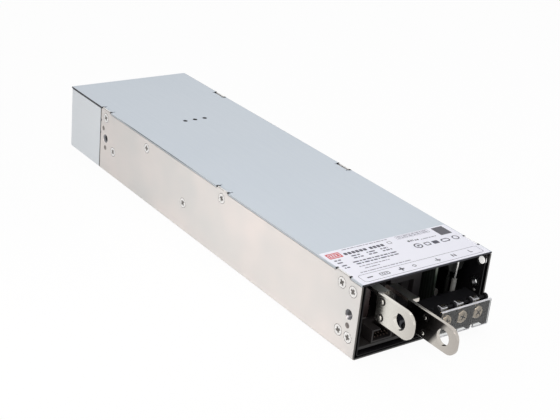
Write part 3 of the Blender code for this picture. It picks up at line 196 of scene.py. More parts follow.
bpy.ops.object.select_all(action="DESELECT")
bpy.ops.mesh.primitive_plane_add(size=2 * floor_reach, location=(0, 0, 0))
floor = bpy.context.object
floor.name = "floor"
floor_paint = bpy.data.materials.new("floor_paint")
floor_paint.use_nodes = True
paper = floor_paint.node_tree
paper.nodes.clear()
matte = add_node(paper, "ShaderNodeBsdfDiffuse", Color=floor_white)
glow = add_node(paper, "ShaderNodeEmission", Color=(1, 1, 1, 1), Strength=1.0)
share = calculate(paper, "MULTIPLY", seen_directly(paper), floor_glow)
both = add_node(paper, "ShaderNodeMixShader", _0=share, _1=matte.outputs[0], _2=glow.outputs[0])
add_node(paper, "ShaderNodeOutputMaterial", Surface=both.outputs[0])
floor.data.materials.append(floor_paint)
print("floor reaches", floor_reach, "m")

# %% [markdown]
# ## The lamps
# Studio lamps are wide boxes with white cloth in front, and area lamps stand for them. The key lamp
# is above the front left, a narrow one lifts the middle of the long side, and two weak ones fill the
# top and the open end. A constraint could aim them, but a turn worked out from two points is short.

# %% Lamps
lamps = [
    ("key", (-0.35, -0.45, 0.6), (-0.02, -0.12, 0.03), 0.3, 1.35, (1, 0.91, 0.88)),
    ("side_glow", (-0.36, -0.08, 0.14), (-0.0425, -0.085, 0.02), 0.16, 0.1, (1, 0.93, 0.89), 70),
    ("overhead", (0.25, 0.1, 1.2), (0, 0, 0.02), 0.8, 4.5),
    ("front_fill", (0.35, -1.1, 0.35), (0, -0.15, 0.02), 0.5, 1.2),
]


def add_lamp(name, place, aim, size, power, colour=(1, 1, 1), beam=180):
    """A square soft lamp that points at aim, its light held to a beam of so many degrees."""
    lamp = bpy.data.lights.new(name, "AREA")
    lamp.color = colour
    lamp.spread = math.radians(beam)
    lamp.size = size
    lamp.energy = power
    holder = bpy.data.objects.new(name, lamp)
    way = Vector(place) - Vector(aim)
    holder.matrix_world = Matrix.Translation(place) @ way.to_track_quat("Z", "Y").to_matrix().to_4x4()
    bpy.context.collection.objects.link(holder)


for lamp_values in lamps:
    add_lamp(*lamp_values)
print("lamps:", len(lamps))

# %% [markdown]
# ## Effects that several finishes share
# Sheet metal shows the fine streaks of the rolling mill and slow clouds in its plating, and moulded
# plastic shows a fine orange-peel that fingers polish. A picture could carry them, but noise that is
# worked out has no edges and never repeats. Each effect is a node group with named sockets, built
# once and placed in a material with its own values.

# %% Shader groups
streak_stretch = (1.0, 0.035, 1.0)


def new_group(name, inputs, outputs):
    """A shader group with (name, default) float inputs and (name, kind) outputs."""
    group = bpy.data.node_groups.new(name, "ShaderNodeTree")
    for label, value in inputs:
        socket = group.interface.new_socket(label, in_out="INPUT", socket_type="NodeSocketFloat")
        socket.default_value = value
    for label, kind in outputs:
        group.interface.new_socket(label, in_out="OUTPUT", socket_type=kind)
    enter = group.nodes.new("NodeGroupInput")
    leave = group.nodes.new("NodeGroupOutput")
    return group, enter, leave


def build_rolled_grain():
    """Fine streaks along Y, as a rolling mill leaves them, and slow clouds over the sheet."""
    group, enter, leave = new_group(
        "rolled_grain",
        [("Streak Scale", 900.0), ("Cloud Scale", 14.0)],
        [("Streaks", "NodeSocketFloat"), ("Clouds", "NodeSocketFloat")],
    )
    place = add_node(group, "ShaderNodeTexCoord").outputs["Object"]
    stretched = add_node(group, "ShaderNodeMapping", Vector=place, Scale=streak_stretch)
    streaks = add_node(
        group,
        "ShaderNodeTexNoise",
        Vector=stretched.outputs[0],
        Scale=enter.outputs["Streak Scale"],
        Detail=3.0,
        Roughness=0.6,
    )
    clouds = add_node(
        group,
        "ShaderNodeTexNoise",
        Vector=place,
        Scale=enter.outputs["Cloud Scale"],
        Detail=2.0,
        Roughness=0.5,
    )
    group.links.new(streaks.outputs["Fac"], leave.inputs["Streaks"])
    group.links.new(clouds.outputs["Fac"], leave.inputs["Clouds"])
    return group


def build_moulded_grain():
    """The fine orange-peel of a moulded plastic, and where fingers have polished it."""
    group, enter, leave = new_group(
        "moulded_grain",
        [("Grain Scale", 2600.0), ("Polish Scale", 90.0)],
        [("Grain", "NodeSocketFloat"), ("Polish", "NodeSocketFloat")],
    )
    place = add_node(group, "ShaderNodeTexCoord").outputs["Object"]
    grain = add_node(
        group, "ShaderNodeTexNoise", Vector=place, Scale=enter.outputs["Grain Scale"], Detail=2.0
    )
    polish = add_node(
        group, "ShaderNodeTexNoise", Vector=place, Scale=enter.outputs["Polish Scale"], Detail=3.0
    )
    group.links.new(grain.outputs["Fac"], leave.inputs["Grain"])
    group.links.new(polish.outputs["Fac"], leave.inputs["Polish"])
    return group


rolled_grain = build_rolled_grain()
moulded_grain = build_moulded_grain()
print("groups:", rolled_grain.name, moulded_grain.name)

# %% [markdown]
# ## From effects to finishes
# A finish is an effect with its own colours and depth. Copying a whole material for each part would
# work too, but then every later change has to be made many times. So one function builds every
# metal, another builds every plastic, and only the values differ.

# %% Finish helpers
noise_low = 0.3
noise_high = 0.7
metal_gloss_swing = 0.12
streak_strength = 0.35
plastic_shade_share = 0.82
plastic_gloss_swing = 0.15
grain_strength = 0.4


def place_group(tree, group, **values):
    """A node that uses the group, with its inputs set by name."""
    node = tree.nodes.new("ShaderNodeGroup")
    node.node_tree = group
    for name, value in values.items():
        node.inputs[name.replace("_", " ")].default_value = value
    return node


def spread(tree, value, low, high):
    """Turns a noise value, which keeps near the middle, into one from low to high."""
    ends = {"From_Min": noise_low, "From_Max": noise_high, "To_Min": low, "To_Max": high}
    return add_node(tree, "ShaderNodeMapRange", Value=value, **ends).outputs["Result"]


def fade(tree, value, start, end):
    """0 up to the start and 1 from the end on."""
    ends = {"From_Min": start, "From_Max": end}
    return add_node(tree, "ShaderNodeMapRange", Value=value, **ends).outputs["Result"]


def bump(tree, shader, height, distance, strength=1.0):
    """Sets the shader's normal from a height, whose full swing stands for this distance."""
    node = add_node(tree, "ShaderNodeBump", Height=height, Distance=distance, Strength=strength)
    tree.links.new(node.outputs["Normal"], shader.inputs["Normal"])


def sheet_metal(name, pale, deep, roughness, streak_depth=0.00001, metallic=1.0, edges=None, **scales):
    """Plated sheet: two tones in slow clouds, a rolling grain in its gloss, and painted edges."""
    material, tree, shader = new_material(name, pale, roughness, metallic)
    grain = place_group(tree, rolled_grain, **scales)
    tones = ramp(tree, grain.outputs["Clouds"], [(noise_low, deep), (noise_high, pale)])
    if edges:
        tones = edges(tree, tones)
    tree.links.new(tones, shader.inputs["Base Color"])
    low, high = roughness * (1 - metal_gloss_swing), roughness * (1 + metal_gloss_swing)
    tree.links.new(spread(tree, grain.outputs["Streaks"], low, high), shader.inputs["Roughness"])
    bump(tree, shader, grain.outputs["Streaks"], streak_depth, streak_strength)
    return material


def moulded(name, colour, roughness, depth=0.00002, sheen=0.5, **scales):
    """Moulded plastic, or another fine-grained solid finish. Sheen is its plain reflection."""
    material, tree, shader = new_material(name, colour, roughness)
    shader.inputs["Specular IOR Level"].default_value = sheen
    grain = place_group(tree, moulded_grain, **scales)
    darker = tuple(plastic_shade_share * part for part in colour)
    tones = ramp(tree, grain.outputs["Polish"], [(noise_low, darker), (noise_high, colour)])
    tree.links.new(tones, shader.inputs["Base Color"])
    low, high = roughness * (1 - plastic_gloss_swing), roughness * (1 + plastic_gloss_swing)
    tree.links.new(spread(tree, grain.outputs["Polish"], low, high), shader.inputs["Roughness"])
    bump(tree, shader, grain.outputs["Grain"], depth, grain_strength)
    return material


print("finish helpers ready")

# %% [markdown]
# ## Cut edges, seams and shaded roots
# The cut edges at the open end, the seams, the bend along the bottom and the root of the inner bar
# carry painted shade, and a seam is painted as a dark line because no light comes back out of it.
# Each could be a strip of its own, but such thin strips flicker. So the finish looks at where a point
# lies on its piece, in the piece's own coordinates, and paints it.

# %% Painted edges
lid_low, lid_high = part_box("top_cover")
front_cut = lid_low[1] + 0.12 * mm
side_cut = lid_high[0] - 0.1 * mm
line_low = lid_high[2] - 0.42 * mm
seam_y = 109 * mm
seam_shadow = 0.95 * mm
bow_end = -30 * mm
wall_inside = 41.6 * mm
lining_low = 0.5 * mm
tab_low = 39.9 * mm
bend_low = 0.7 * mm
tip_start = -163 * mm
tip_end = -188 * mm
bar_face = -14.1 * mm
bar_middle = sum(corner[2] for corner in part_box("busbar_positive")) / 2
shade_end = -173 * mm
shade_softness = 1.5 * mm
slant_share = 0.6
bar_slant = shade_end + slant_share * bar_middle
# Painted shade: a near-black tone for the lid's front edge and its side edge behind the seam.
edge_shade_dark = (0.03, 0.03, 0.038, 1)
cut_pale = (0.5, 0.54, 0.58, 1)
# Painted shade on the walls' front cut.
wall_front_shade = (0.11, 0.105, 0.1, 1)
# Painted shade where the bend at the bottom faces the floor.
bend_shade = (0.5, 0.46, 0.43, 1)
inside_black = (0.004, 0.004, 0.005, 1)
# Painted shadow on the housing's first edge, under the seam.
seam_shade_tone = (0.05, 0.052, 0.056, 1)
# A darker tone towards the bars' tips.
tip_darker = (0.47, 0.435, 0.4, 1)
# Painted reflection of the dark parts beside the inner bar.
bar_shade = (0.035, 0.032, 0.03, 1)
# Painted shade along the lid's side edge, darkest in the gap where the lid bows off the wall.
gap_shade_line = [
    (0.14, (0.5, 0.53, 0.57)),
    (0.3, (0.07, 0.072, 0.078)),
    (0.66, (0.09, 0.092, 0.1)),
    (0.84, (0.42, 0.45, 0.48)),
]


def own_place(tree):
    """The X, Y and Z of a point in its piece's own coordinates."""
    place = add_node(tree, "ShaderNodeTexCoord").outputs["Object"]
    return add_node(tree, "ShaderNodeSeparateXYZ", Vector=place).outputs


def mixed(tree, share, tone, paint):
    """The tone with this share of the paint."""
    node = add_node(tree, "ShaderNodeMix", {"data_type": "RGBA"}, _0=share, _6=tone, _7=paint)
    return node.outputs[2]


def paint_past(tree, tone, axis, limit, paint, below=False):
    """The tone, with the paint past (or below) a limit on one axis. X counts to both sides."""
    part = own_place(tree)[axis]
    if axis == "X":
        part = calculate(tree, "ABSOLUTE", part)
    past = calculate(tree, "LESS_THAN" if below else "GREATER_THAN", part, limit)
    return mixed(tree, past, tone, paint)


def lid_edges(tree, tone):
    """Painted shade: dark in front and behind the seam, and a dark line where the lid bows off the wall."""
    share = fade(tree, own_place(tree)["Y"], seam_y, bow_end)
    line = paint_past(tree, cut_pale, "Z", line_low, ramp(tree, share, gap_shade_line))
    side = paint_past(tree, line, "Y", seam_y, edge_shade_dark)
    tone = paint_past(tree, tone, "X", side_cut, side)
    return paint_past(tree, tone, "Y", front_cut, edge_shade_dark, below=True)


def wall_edges(tree, tone):
    """Painted shade on the square cut in front and along the bend at the bottom, and black inside the walls."""
    tone = paint_past(tree, tone, "Y", front_cut, wall_front_shade, below=True)
    lining = paint_past(tree, tone, "Z", lining_low, inside_black)
    lining = paint_past(tree, lining, "Z", tab_low, tone)
    outside = paint_past(tree, tone, "Z", bend_low, bend_shade, below=True)
    return paint_past(tree, outside, "X", wall_inside, lining, below=True)


def bar_tips(tree, tone):
    """The bars are painted darker towards their tips than at their roots."""
    share = fade(tree, own_place(tree)["Y"], tip_start, tip_end)
    return mixed(tree, share, tone, tip_darker)


def shaded_root(tree, tone):
    """A painted reflection of dark parts: the inner bar's face is dark from its root to a slanting line short
    of its hole.
    """
    tone = bar_tips(tree, tone)
    place = own_place(tree)
    slant = calculate(tree, "MULTIPLY_ADD", place["Z"], slant_share, place["Y"])
    deep = fade(tree, slant, bar_slant - shade_softness, bar_slant + shade_softness)
    face = calculate(tree, "LESS_THAN", place["X"], bar_face)
    return mixed(tree, calculate(tree, "MULTIPLY", deep, face), tone, bar_shade)


def housing_edges(tree, tone):
    """Painted shadow: the housing tucks in behind the chassis, so its first edge is painted dark."""
    return paint_past(tree, tone, "Y", seam_y + seam_shadow, seam_shade_tone, below=True)


print("seam at", round(seam_y / mm), "mm, bar shaded to", round(shade_end / mm), "mm")

# %% [markdown]
# ## Metal finishes
# The chassis is nickel plated, which looks warm, and the cover is zinc coated, which looks cool.
# Both are satin and mirror the white studio as a soft tone. A full metal shader would also mirror
# every dark thing near it, so the sheets are only partly metal. Bars and contacts are all metal.

# %% Metals
fine_streak = 0.000004
faint_streak = 0.000006
polished_streak = 0.000001

nickel_sheet = sheet_metal(
    "nickel_sheet",
    (0.755, 0.708, 0.682),
    (0.65, 0.648, 0.635),
    0.33,
    metallic=0.35,
    edges=wall_edges,
    Cloud_Scale=26.0,
)
zinc_sheet = sheet_metal(
    "zinc_sheet", (0.54, 0.59, 0.645), (0.525, 0.578, 0.635), 0.42, faint_streak, 0.6, lid_edges
)
housing_sheet = sheet_metal(
    "housing_sheet", (0.725, 0.755, 0.785), (0.71, 0.745, 0.775), 0.42, faint_streak, 0.6, housing_edges
)
bar_metal = sheet_metal(
    "bar_metal", (0.8, 0.785, 0.72), (0.735, 0.715, 0.66), 0.2, fine_streak, edges=bar_tips
)
# A darker copy of the bar metal for the inner bar: painted shade for the darker reflections it shows.
bar_metal_shaded = sheet_metal(
    "bar_metal_shaded", (0.68, 0.645, 0.59), (0.6, 0.57, 0.52), 0.22, fine_streak, edges=shaded_root
)
screw_metal = sheet_metal("screw_metal", (0.88, 0.88, 0.87), (0.77, 0.77, 0.76), 0.24, fine_streak, 0.5)
pole_metal = sheet_metal("pole_metal", (0.56, 0.47, 0.37), (0.34, 0.27, 0.2), 0.22, fine_streak)
fan_screw_metal = sheet_metal("fan_screw_metal", (0.66, 0.67, 0.69), (0.55, 0.56, 0.58), 0.3)
# Painted shade in the gap around each countersunk head.
groove_shade = sheet_metal("groove_shade", (0.24, 0.22, 0.21), (0.16, 0.15, 0.14), 0.45)
heatsink_metal = sheet_metal("heatsink_metal", (0.72, 0.73, 0.75), (0.62, 0.63, 0.65), 0.38)
brass_metal = sheet_metal("brass_metal", (0.75, 0.57, 0.3), (0.62, 0.45, 0.22), 0.28, fine_streak)
clamp_metal = sheet_metal("clamp_metal", (0.74, 0.7, 0.64), (0.62, 0.58, 0.52), 0.26, fine_streak)
# A darker finish for the floors of the dimples.
dimple_dark_nickel = sheet_metal("dimple_dark_nickel", (0.3, 0.275, 0.255), (0.2, 0.18, 0.17), 0.4)
thread_metal = sheet_metal("thread_metal", (0.3, 0.3, 0.31), (0.16, 0.16, 0.17), 0.3)
bright_lead = sheet_metal("bright_lead", (0.9, 0.89, 0.87), (0.8, 0.79, 0.77), 0.35, polished_streak)
contact_bronze = sheet_metal("contact_bronze", (0.18, 0.13, 0.1), (0.11, 0.085, 0.07), 0.35)
print("metals:", 16)

# %% [markdown]
# ## Plastics
# Inside the open end nearly everything is black: the lining film, the terminal block, the pin header
# and the capacitor sleeves. Pure black would hide their shapes, so each keeps its own deep grey and
# its own gloss. The white nylon plug carries painted light: an emission makes it glow a little.

# %% Plastics
# Painted light: the glow of the white plug.
plug_painted_glow = 0.5
lining_black = moulded("lining_black", (0.008, 0.0075, 0.009), 0.4, depth=0.00001, sheen=0.2)
block_black = moulded("block_black", (0.008, 0.008, 0.01), 0.6, sheen=0.15)
fan_black = moulded("fan_black", (0.022, 0.022, 0.024), 0.5)
header_black = moulded("header_black", (0.022, 0.019, 0.019), 0.55, sheen=0.3)
choke_black = moulded("choke_black", (0.032, 0.03, 0.032), 0.5)
relay_black = moulded("relay_black", (0.034, 0.03, 0.033), 0.35)
trimmer_blue = moulded("trimmer_blue", (0.014, 0.016, 0.022), 0.35)
lamp_green = moulded("lamp_green", (0.02, 0.12, 0.04), 0.18)
capacitor_yellow = moulded("capacitor_yellow", (0.42, 0.33, 0.05), 0.4)
disc_green = moulded("disc_green", (0.006, 0.007, 0.006), 0.6)
# Painted shade: a near-black finish for recesses, moats and the trimmer's screw.
recess_shade = moulded("recess_shade", (0.012, 0.011, 0.011), 0.6, sheen=0.1)
sleeve_grey = moulded("sleeve_grey", (0.36, 0.365, 0.35), 0.55)
plug_white = moulded("plug_white", (0.86, 0.86, 0.85), 0.4)
# Painted shade: a near-black finish for the pieces let into gaps.
gap_shade_black = moulded("gap_shade_black", (0.006, 0.006, 0.007), 0.6, sheen=0.1)
# Painted highlight: an opaque pale finish for the clear cover's bright edges.
cover_highlight_paint = moulded("cover_highlight_paint", (0.82, 0.83, 0.88), 0.3)
hub_paper = moulded("hub_paper", (0.55, 0.56, 0.58), 0.45, Polish_Scale=300.0)
fuse_white = moulded("fuse_white", (0.58, 0.58, 0.56), 0.25)
ferrite_grey = moulded("ferrite_grey", (0.05, 0.05, 0.055), 0.6, Grain_Scale=1400.0)
sleeve_black = moulded("sleeve_black", (0.075, 0.052, 0.052), 0.28)
plug_shader = plug_white.node_tree.nodes["Principled BSDF"]
plug_shader.inputs["Emission Color"].default_value = (1, 1, 0.98, 1)
plug_shader.inputs["Emission Strength"].default_value = plug_painted_glow
print("plastics:", 19)

# %% [markdown]
# ## Clear plastic
# The terminal cover is moulded from a clear plastic that is a little grey where it is thick. Mixing
# in a see-through shader would render faster, but only real transmission bends the outlines of the
# screws behind it. The shared grain makes its gloss uneven, as fingers leave it.

# %% Clear plastic
def clear_plastic():
    """The clear cover: a thin, glossy, faintly grey moulding."""
    material, tree, shader = new_material("cover_clear", (0.71, 0.72, 0.72), 0.06)
    shader.inputs["Transmission Weight"].default_value = 1.0
    shader.inputs["IOR"].default_value = 1.4
    grain = place_group(tree, moulded_grain, Grain_Scale=700.0, Polish_Scale=120.0)
    tree.links.new(spread(tree, grain.outputs["Polish"], 0.04, 0.09), shader.inputs["Roughness"])
    bump(tree, shader, grain.outputs["Polish"], 0.00002, 0.2)
    return material


cover_clear = clear_plastic()
print("clear plastic:", cover_clear.name)

# %% [markdown]
# ## Print
# The label is printed film. Its ink lies a little uneven on the film and is duller than it. A
# picture of the print could be laid over the label, but shapes with an ink finish stay sharp however
# near the camera comes.

# %% Print
def printed(name, colour, roughness=0.4, wear=0.12):
    """Screen-printed ink or film: a fine screen in its tone, and a slight gloss change."""
    material, tree, shader = new_material(name, colour, roughness)
    grain = place_group(tree, moulded_grain, Grain_Scale=5200.0, Polish_Scale=60.0)
    deeper = tuple((1 - wear) * part for part in colour)
    tones = ramp(tree, grain.outputs["Grain"], [(0.3, deeper), (0.6, colour)])
    tree.links.new(tones, shader.inputs["Base Color"])
    tree.links.new(
        spread(tree, grain.outputs["Polish"], 0.9 * roughness, 1.15 * roughness),
        shader.inputs["Roughness"],
    )
    return material


label_film = printed("label_film", (0.82, 0.835, 0.92), 0.35, 0.03)
ink_dark = printed("ink_dark", (0.025, 0.025, 0.05))
ink_grey = printed("ink_grey", (0.07, 0.07, 0.11))
ink_pale = printed("ink_pale", (0.2, 0.2, 0.26))
ink_red = printed("ink_red", (0.58, 0.075, 0.085))
ink_field = printed("ink_field", (0.07, 0.07, 0.09), 0.4, 0.5)
print("inks:", 6)

# %% [markdown]
# ## Circuit boards
# A board is lacquer over copper tracks, and its sawn edge is bare glass fibre. Modelled tracks would
# be lost in the dark of the case, so a brick pattern gives them a tone and a height. The sawn edge
# carries painted light: it is lighter towards its upper end, which stands nearest to the daylight.
# The main board has darker tones than the others, as painted shade.

# %% Circuit board
rim_low = 20 * mm
rim_high = 28.5 * mm
green_tones = ((0.05, 0.062, 0.056), (0.038, 0.046, 0.041), (0.02, 0.025, 0.022))
# Painted shade: darker tones for the main board, which lies in the shade of the case.
shaded_board_tones = ((0.024, 0.021, 0.02), (0.018, 0.016, 0.015), (0.009, 0.008, 0.008))
# Painted light: the sawn edge's tones, lighter towards its upper end.
rim_light_tones = [(0.0, (0.008, 0.014, 0.009)), (0.5, (0.03, 0.05, 0.032)), (1.0, (0.26, 0.3, 0.25))]


def circuit_board(name, tones, roughness):
    """Lacquer over copper: brick shapes stand for the pads and tracks under it."""
    material, tree, shader = new_material(name, tones[0], roughness)
    place = add_node(tree, "ShaderNodeTexCoord").outputs["Object"]
    tracks = add_node(
        tree,
        "ShaderNodeTexBrick",
        {"offset": 0.35, "squash": 1.6},
        Vector=place,
        Color1=(*tones[0], 1),
        Color2=(*tones[1], 1),
        Mortar=(*tones[2], 1),
        Scale=260.0,
        Mortar_Size=0.03,
    )
    tree.links.new(tracks.outputs["Color"], shader.inputs["Base Color"])
    bump(tree, shader, tracks.outputs["Fac"], 0.00003, 0.5)
    return material


def board_rim():
    """Painted light: the board's bare glass edge, lighter towards its upper end."""
    material, tree, shader = new_material("board_rim", (0.1, 0.13, 0.1), 0.5)
    rise = fade(tree, own_place(tree)["Z"], rim_low, rim_high)
    tree.links.new(ramp(tree, rise, rim_light_tones), shader.inputs["Base Color"])
    fibres = place_group(tree, moulded_grain, Grain_Scale=1800.0)
    bump(tree, shader, fibres.outputs["Grain"], 0.00003, 0.5)
    return material


board_green = circuit_board("board_green", green_tones, 0.4)
board_shaded = circuit_board("board_shaded", shaded_board_tones, 0.55)
bare_edge = board_rim()
print("boards:", board_green.name, board_shaded.name, bare_edge.name)

# %% [markdown]
# ## Windings
# Chokes and the transformer are wound with copper wire or wrapped in tape. Modelling every turn
# would be heavy for something that is barely seen, so a wave pattern darkens and lowers the valleys
# between the turns.

# %% Wound wire
def wound_wire(name, pale, deep, turns, roughness, metallic):
    """Wire or tape wound on a form: fine bands along Y with a rounded height."""
    material, tree, shader = new_material(name, pale, roughness, metallic)
    place = add_node(tree, "ShaderNodeTexCoord").outputs["Object"]
    bands = add_node(
        tree,
        "ShaderNodeTexWave",
        {"wave_type": "BANDS", "bands_direction": "DIAGONAL"},
        Vector=place,
        Scale=turns,
        Distortion=0.6,
        Detail=1.0,
    )
    tree.links.new(
        ramp(tree, bands.outputs["Fac"], [(0.1, deep), (0.6, pale)]), shader.inputs["Base Color"]
    )
    bump(tree, shader, bands.outputs["Fac"], 0.0002, 0.7)
    return material


copper_wire = wound_wire("copper_wire", (0.58, 0.24, 0.09), (0.2, 0.07, 0.03), 260.0, 0.3, 1.0)
winding_tape = wound_wire("winding_tape", (0.6, 0.45, 0.06), (0.48, 0.35, 0.04), 60.0, 0.35, 0.0)
print("windings:", 2)

# %% [markdown]
# ## Dressing the CAD nodes
# Each CAD node keeps its own shape and gets its finish in its material slot. A table from the
# start of a name to a finish is easier to read than a call for every node. The longest match wins,
# so that one node of a family can have a finish of its own.

# %% Finishes of the CAD nodes
finish_of = {
    "chassis": nickel_sheet,
    "top_cover": zinc_sheet,
    "fan_housing": housing_sheet,
    "insulation_film": lining_black,
    "busbar": bar_metal,
    "busbar_positive": bar_metal_shaded,
    "fan_frame": fan_black,
    "fan_rotor": fan_black,
    "terminal_block": block_black,
    "terminal_plate": brass_metal,
    "terminal_clamp": clamp_metal,
    "terminal_screw": brass_metal,
    "terminal_cover": cover_clear,
    "control_connector": header_black,
    "trimmer_body": trimmer_blue,
    # Painted shade: the trimmer's screw is near-black, so that it shows no glint.
    "trimmer_screw": recess_shade,
    "status_light": lamp_green,
    "main_board": board_shaded,
    "standoff": brass_metal,
    "filter_board": board_green,
    "control_board": board_green,
    "output_capacitor": sleeve_black,
    "output_choke": copper_wire,
    "output_heatsink": heatsink_metal,
    "line_choke": choke_black,
    "line_capacitor": capacitor_yellow,
    "inrush_thermistor": disc_green,
    "line_fuse": fuse_white,
    "inrush_relay": relay_black,
    "bridge_rectifier": relay_black,
    "rectifier_heatsink": heatsink_metal,
    "transformer_core": ferrite_grey,
    "transformer_winding": winding_tape,
    "input_heatsink": heatsink_metal,
    "boost_choke": copper_wire,
    "bulk_capacitor": sleeve_black,
}


def dress_nodes():
    """Gives each CAD node the finish whose name its own name starts with."""
    for name, node in nodes.items():
        key = max((key for key in finish_of if name.startswith(key)), key=len)
        if node.material_slots:
            node.material_slots[0].material = finish_of[key]
        else:
            node.data.materials.append(finish_of[key])


dress_nodes()
print("dressed nodes:", len(nodes))

# %% [markdown]
# ## Modelling helpers
# New pieces start as a primitive at its size and place and are shaped in edit mode. An operator
# acts on all that is selected, so each helper deselects everything first.

# %% Selecting and adding
def take(piece):
    """Makes one piece the only selected object."""
    bpy.ops.object.select_all(action="DESELECT")
    piece.select_set(True)
    bpy.context.view_layer.objects.active = piece


def settle(piece):
    """Applies the piece's place, turn and scale to its mesh."""
    take(piece)
    bpy.ops.object.transform_apply(location=True, rotation=True, scale=True)
    return piece


def add_box(name, low, high):
    """A box between two corners, to be shaped further."""
    low, high = Vector(low), Vector(high)
    bpy.ops.object.select_all(action="DESELECT")
    bpy.ops.mesh.primitive_cube_add(size=1, location=(low + high) / 2)
    piece = bpy.context.object
    piece.name = name
    piece.scale = high - low
    return settle(piece)


def add_rod(name, start, end, radius, end_radius=None, sides=32):
    """A cylinder or a cone from one point to another, to be shaped further."""
    start, end = Vector(start), Vector(end)
    way = end - start
    bpy.ops.object.select_all(action="DESELECT")
    bpy.ops.mesh.primitive_cone_add(
        vertices=sides,
        radius1=radius,
        radius2=radius if end_radius is None else end_radius,
        depth=way.length,
        location=(start + end) / 2,
        rotation=way.to_track_quat("Z", "Y").to_euler(),
    )
    piece = bpy.context.object
    piece.name = name
    return settle(piece)


print("selecting and adding ready")

# %% [markdown]
# ## Shaping whole pieces
# Edges on real parts are never quite sharp, and holes have clean walls. Both can be made face by
# face, but a Bevel and a Boolean modifier, applied at once, give the same mesh every time.

# %% Shaping whole pieces
def apply_modifiers(piece):
    """Applies the piece's modifiers in their order."""
    take(piece)
    for modifier in list(piece.modifiers):
        bpy.ops.object.modifier_apply(modifier=modifier.name)
    return piece


def round_edges(piece, width, segments=2, angle=30):
    """Rounds the edges that are sharper than the angle."""
    bevel = piece.modifiers.new("round", "BEVEL")
    bevel.width = width
    bevel.segments = segments
    bevel.limit_method = "ANGLE"
    bevel.angle_limit = math.radians(angle)
    return apply_modifiers(piece)


def cut_away(piece, *tools):
    """Takes the tools' shapes out of the piece and removes the tools."""
    for tool in tools:
        boolean = piece.modifiers.new("cut", "BOOLEAN")
        boolean.operation = "DIFFERENCE"
        boolean.solver = "EXACT"
        boolean.object = tool
        apply_modifiers(piece)
        bpy.data.objects.remove(tool)
    return piece


def merge(name, pieces):
    """Joins several pieces into one object."""
    bpy.ops.object.select_all(action="DESELECT")
    for piece in pieces:
        piece.select_set(True)
    bpy.context.view_layer.objects.active = pieces[0]
    bpy.ops.object.join()
    pieces[0].name = name
    return pieces[0]


print("shaping ready")

# %% [markdown]
# ## Shaping in edit mode
# By hand, faces and edges are picked with the mouse. A script picks them by a test on where they
# lie or which way they face, and then the usual edit mode operators do the work.

# %% Shaping in edit mode
same_place = 1e-7


def select_parts(piece, kind, test):
    """Opens edit mode with only the faces or edges that pass the test selected."""
    take(piece)
    bpy.ops.object.mode_set(mode="EDIT")
    bpy.ops.mesh.select_mode(type=kind)
    bpy.ops.mesh.select_all(action="DESELECT")
    mesh = bmesh.from_edit_mesh(piece.data)
    for part in mesh.faces if kind == "FACE" else mesh.edges:
        part.select_set(test(PartView(part)))
    bmesh.update_edit_mesh(piece.data)


class PartView:
    """A face's normal and middle, or an edge's ends, under plain names."""

    def __init__(self, part):
        if isinstance(part, bmesh.types.BMFace):
            self.normal = part.normal
            self.center = part.calc_center_median()
        else:
            self.start, self.end = (vertex.co for vertex in part.verts)


def round_uprights(piece, radius, segments=4):
    """Rounds the edges that stand along Z."""
    select_parts(piece, "EDGE", lambda edge: (edge.start.xy - edge.end.xy).length < same_place)
    bpy.ops.mesh.bevel(offset=radius, segments=segments, affect="EDGES")
    bpy.ops.object.mode_set(mode="OBJECT")
    return piece


print("edit mode helpers ready")

# %% [markdown]
# ## Finishing a piece
# A finished piece has smooth shading, a finish, and the body that it moves with. A linked duplicate
# would be lighter, but here each copy gets its own mesh, which is moved to its place while the object
# stays at the origin.

# %% Finishing a piece
def dress(piece, finish, inner=None, where=None, smooth=20):
    """Smooth shading and a finish, with a second one on the faces that pass the test."""
    take(piece)
    bpy.ops.object.shade_smooth_by_angle(angle=math.radians(smooth))
    piece.data.materials.clear()
    piece.data.materials.append(finish)
    if inner:
        piece.data.materials.append(inner)
        for face in piece.data.polygons:
            if where(face):
                face.material_index = 1
    return piece


def attach(piece, body="case"):
    """The body that the piece rides on."""
    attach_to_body(piece, body)
    return piece


def finish_piece(piece, finish, body="case", smooth=20):
    """A finish and a body in one call."""
    return attach(dress(piece, finish, smooth=smooth), body)


def copy_to(piece, name, matrix):
    """A copy with its own mesh, moved by the matrix."""
    twin = piece.copy()
    twin.data = piece.data.copy()
    twin.name = name
    bpy.context.collection.objects.link(twin)
    twin.data.transform(matrix)
    return twin


print("finishing ready")

# %% [markdown]
# ## Measuring the case
# What follows sits on the case, so its places could be typed in. They are read from the boxes of the
# CAD nodes instead, so that they fit the frame as it is.

# %% Places from the frame
housing_low, housing_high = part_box("fan_housing")
front_y = lid_low[1]
rear_y = lid_high[1]
top_z = lid_high[2]
side_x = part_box("chassis")[1][0]
print("case from", round(front_y / mm, 1), "to", round(rear_y / mm, 1), "mm, top", round(top_z / mm, 1))

# %% [markdown]
# ## Case screws
# The case is held by countersunk M3 screws with a cross recess. A flat disc with a picture of a cross
# would do from far away, but the recess has to hold a shadow. So one head is modelled: a cone with a
# soft rim, and two blades that narrow downwards cut into it. The recess is painted near-black as
# painted shade, and a grey ring in the gap around the head is painted shade too.

# %% One countersunk screw
head_radius = 2.85 * mm
head_depth = 0.72 * mm
head_round = 0.12 * mm
shank_radius = 1.4 * mm
shank_length = 3.0 * mm
recess_reach = 2.0 * mm
recess_width = 1.5 * mm
recess_depth = 1.7 * mm
recess_taper = 0.6
recess_start = 0.1 * mm
recess_limit = 1.45 * shank_radius
groove_radius = 3.12 * mm
groove_sink = 0.03 * mm
groove_round = 0.05 * mm


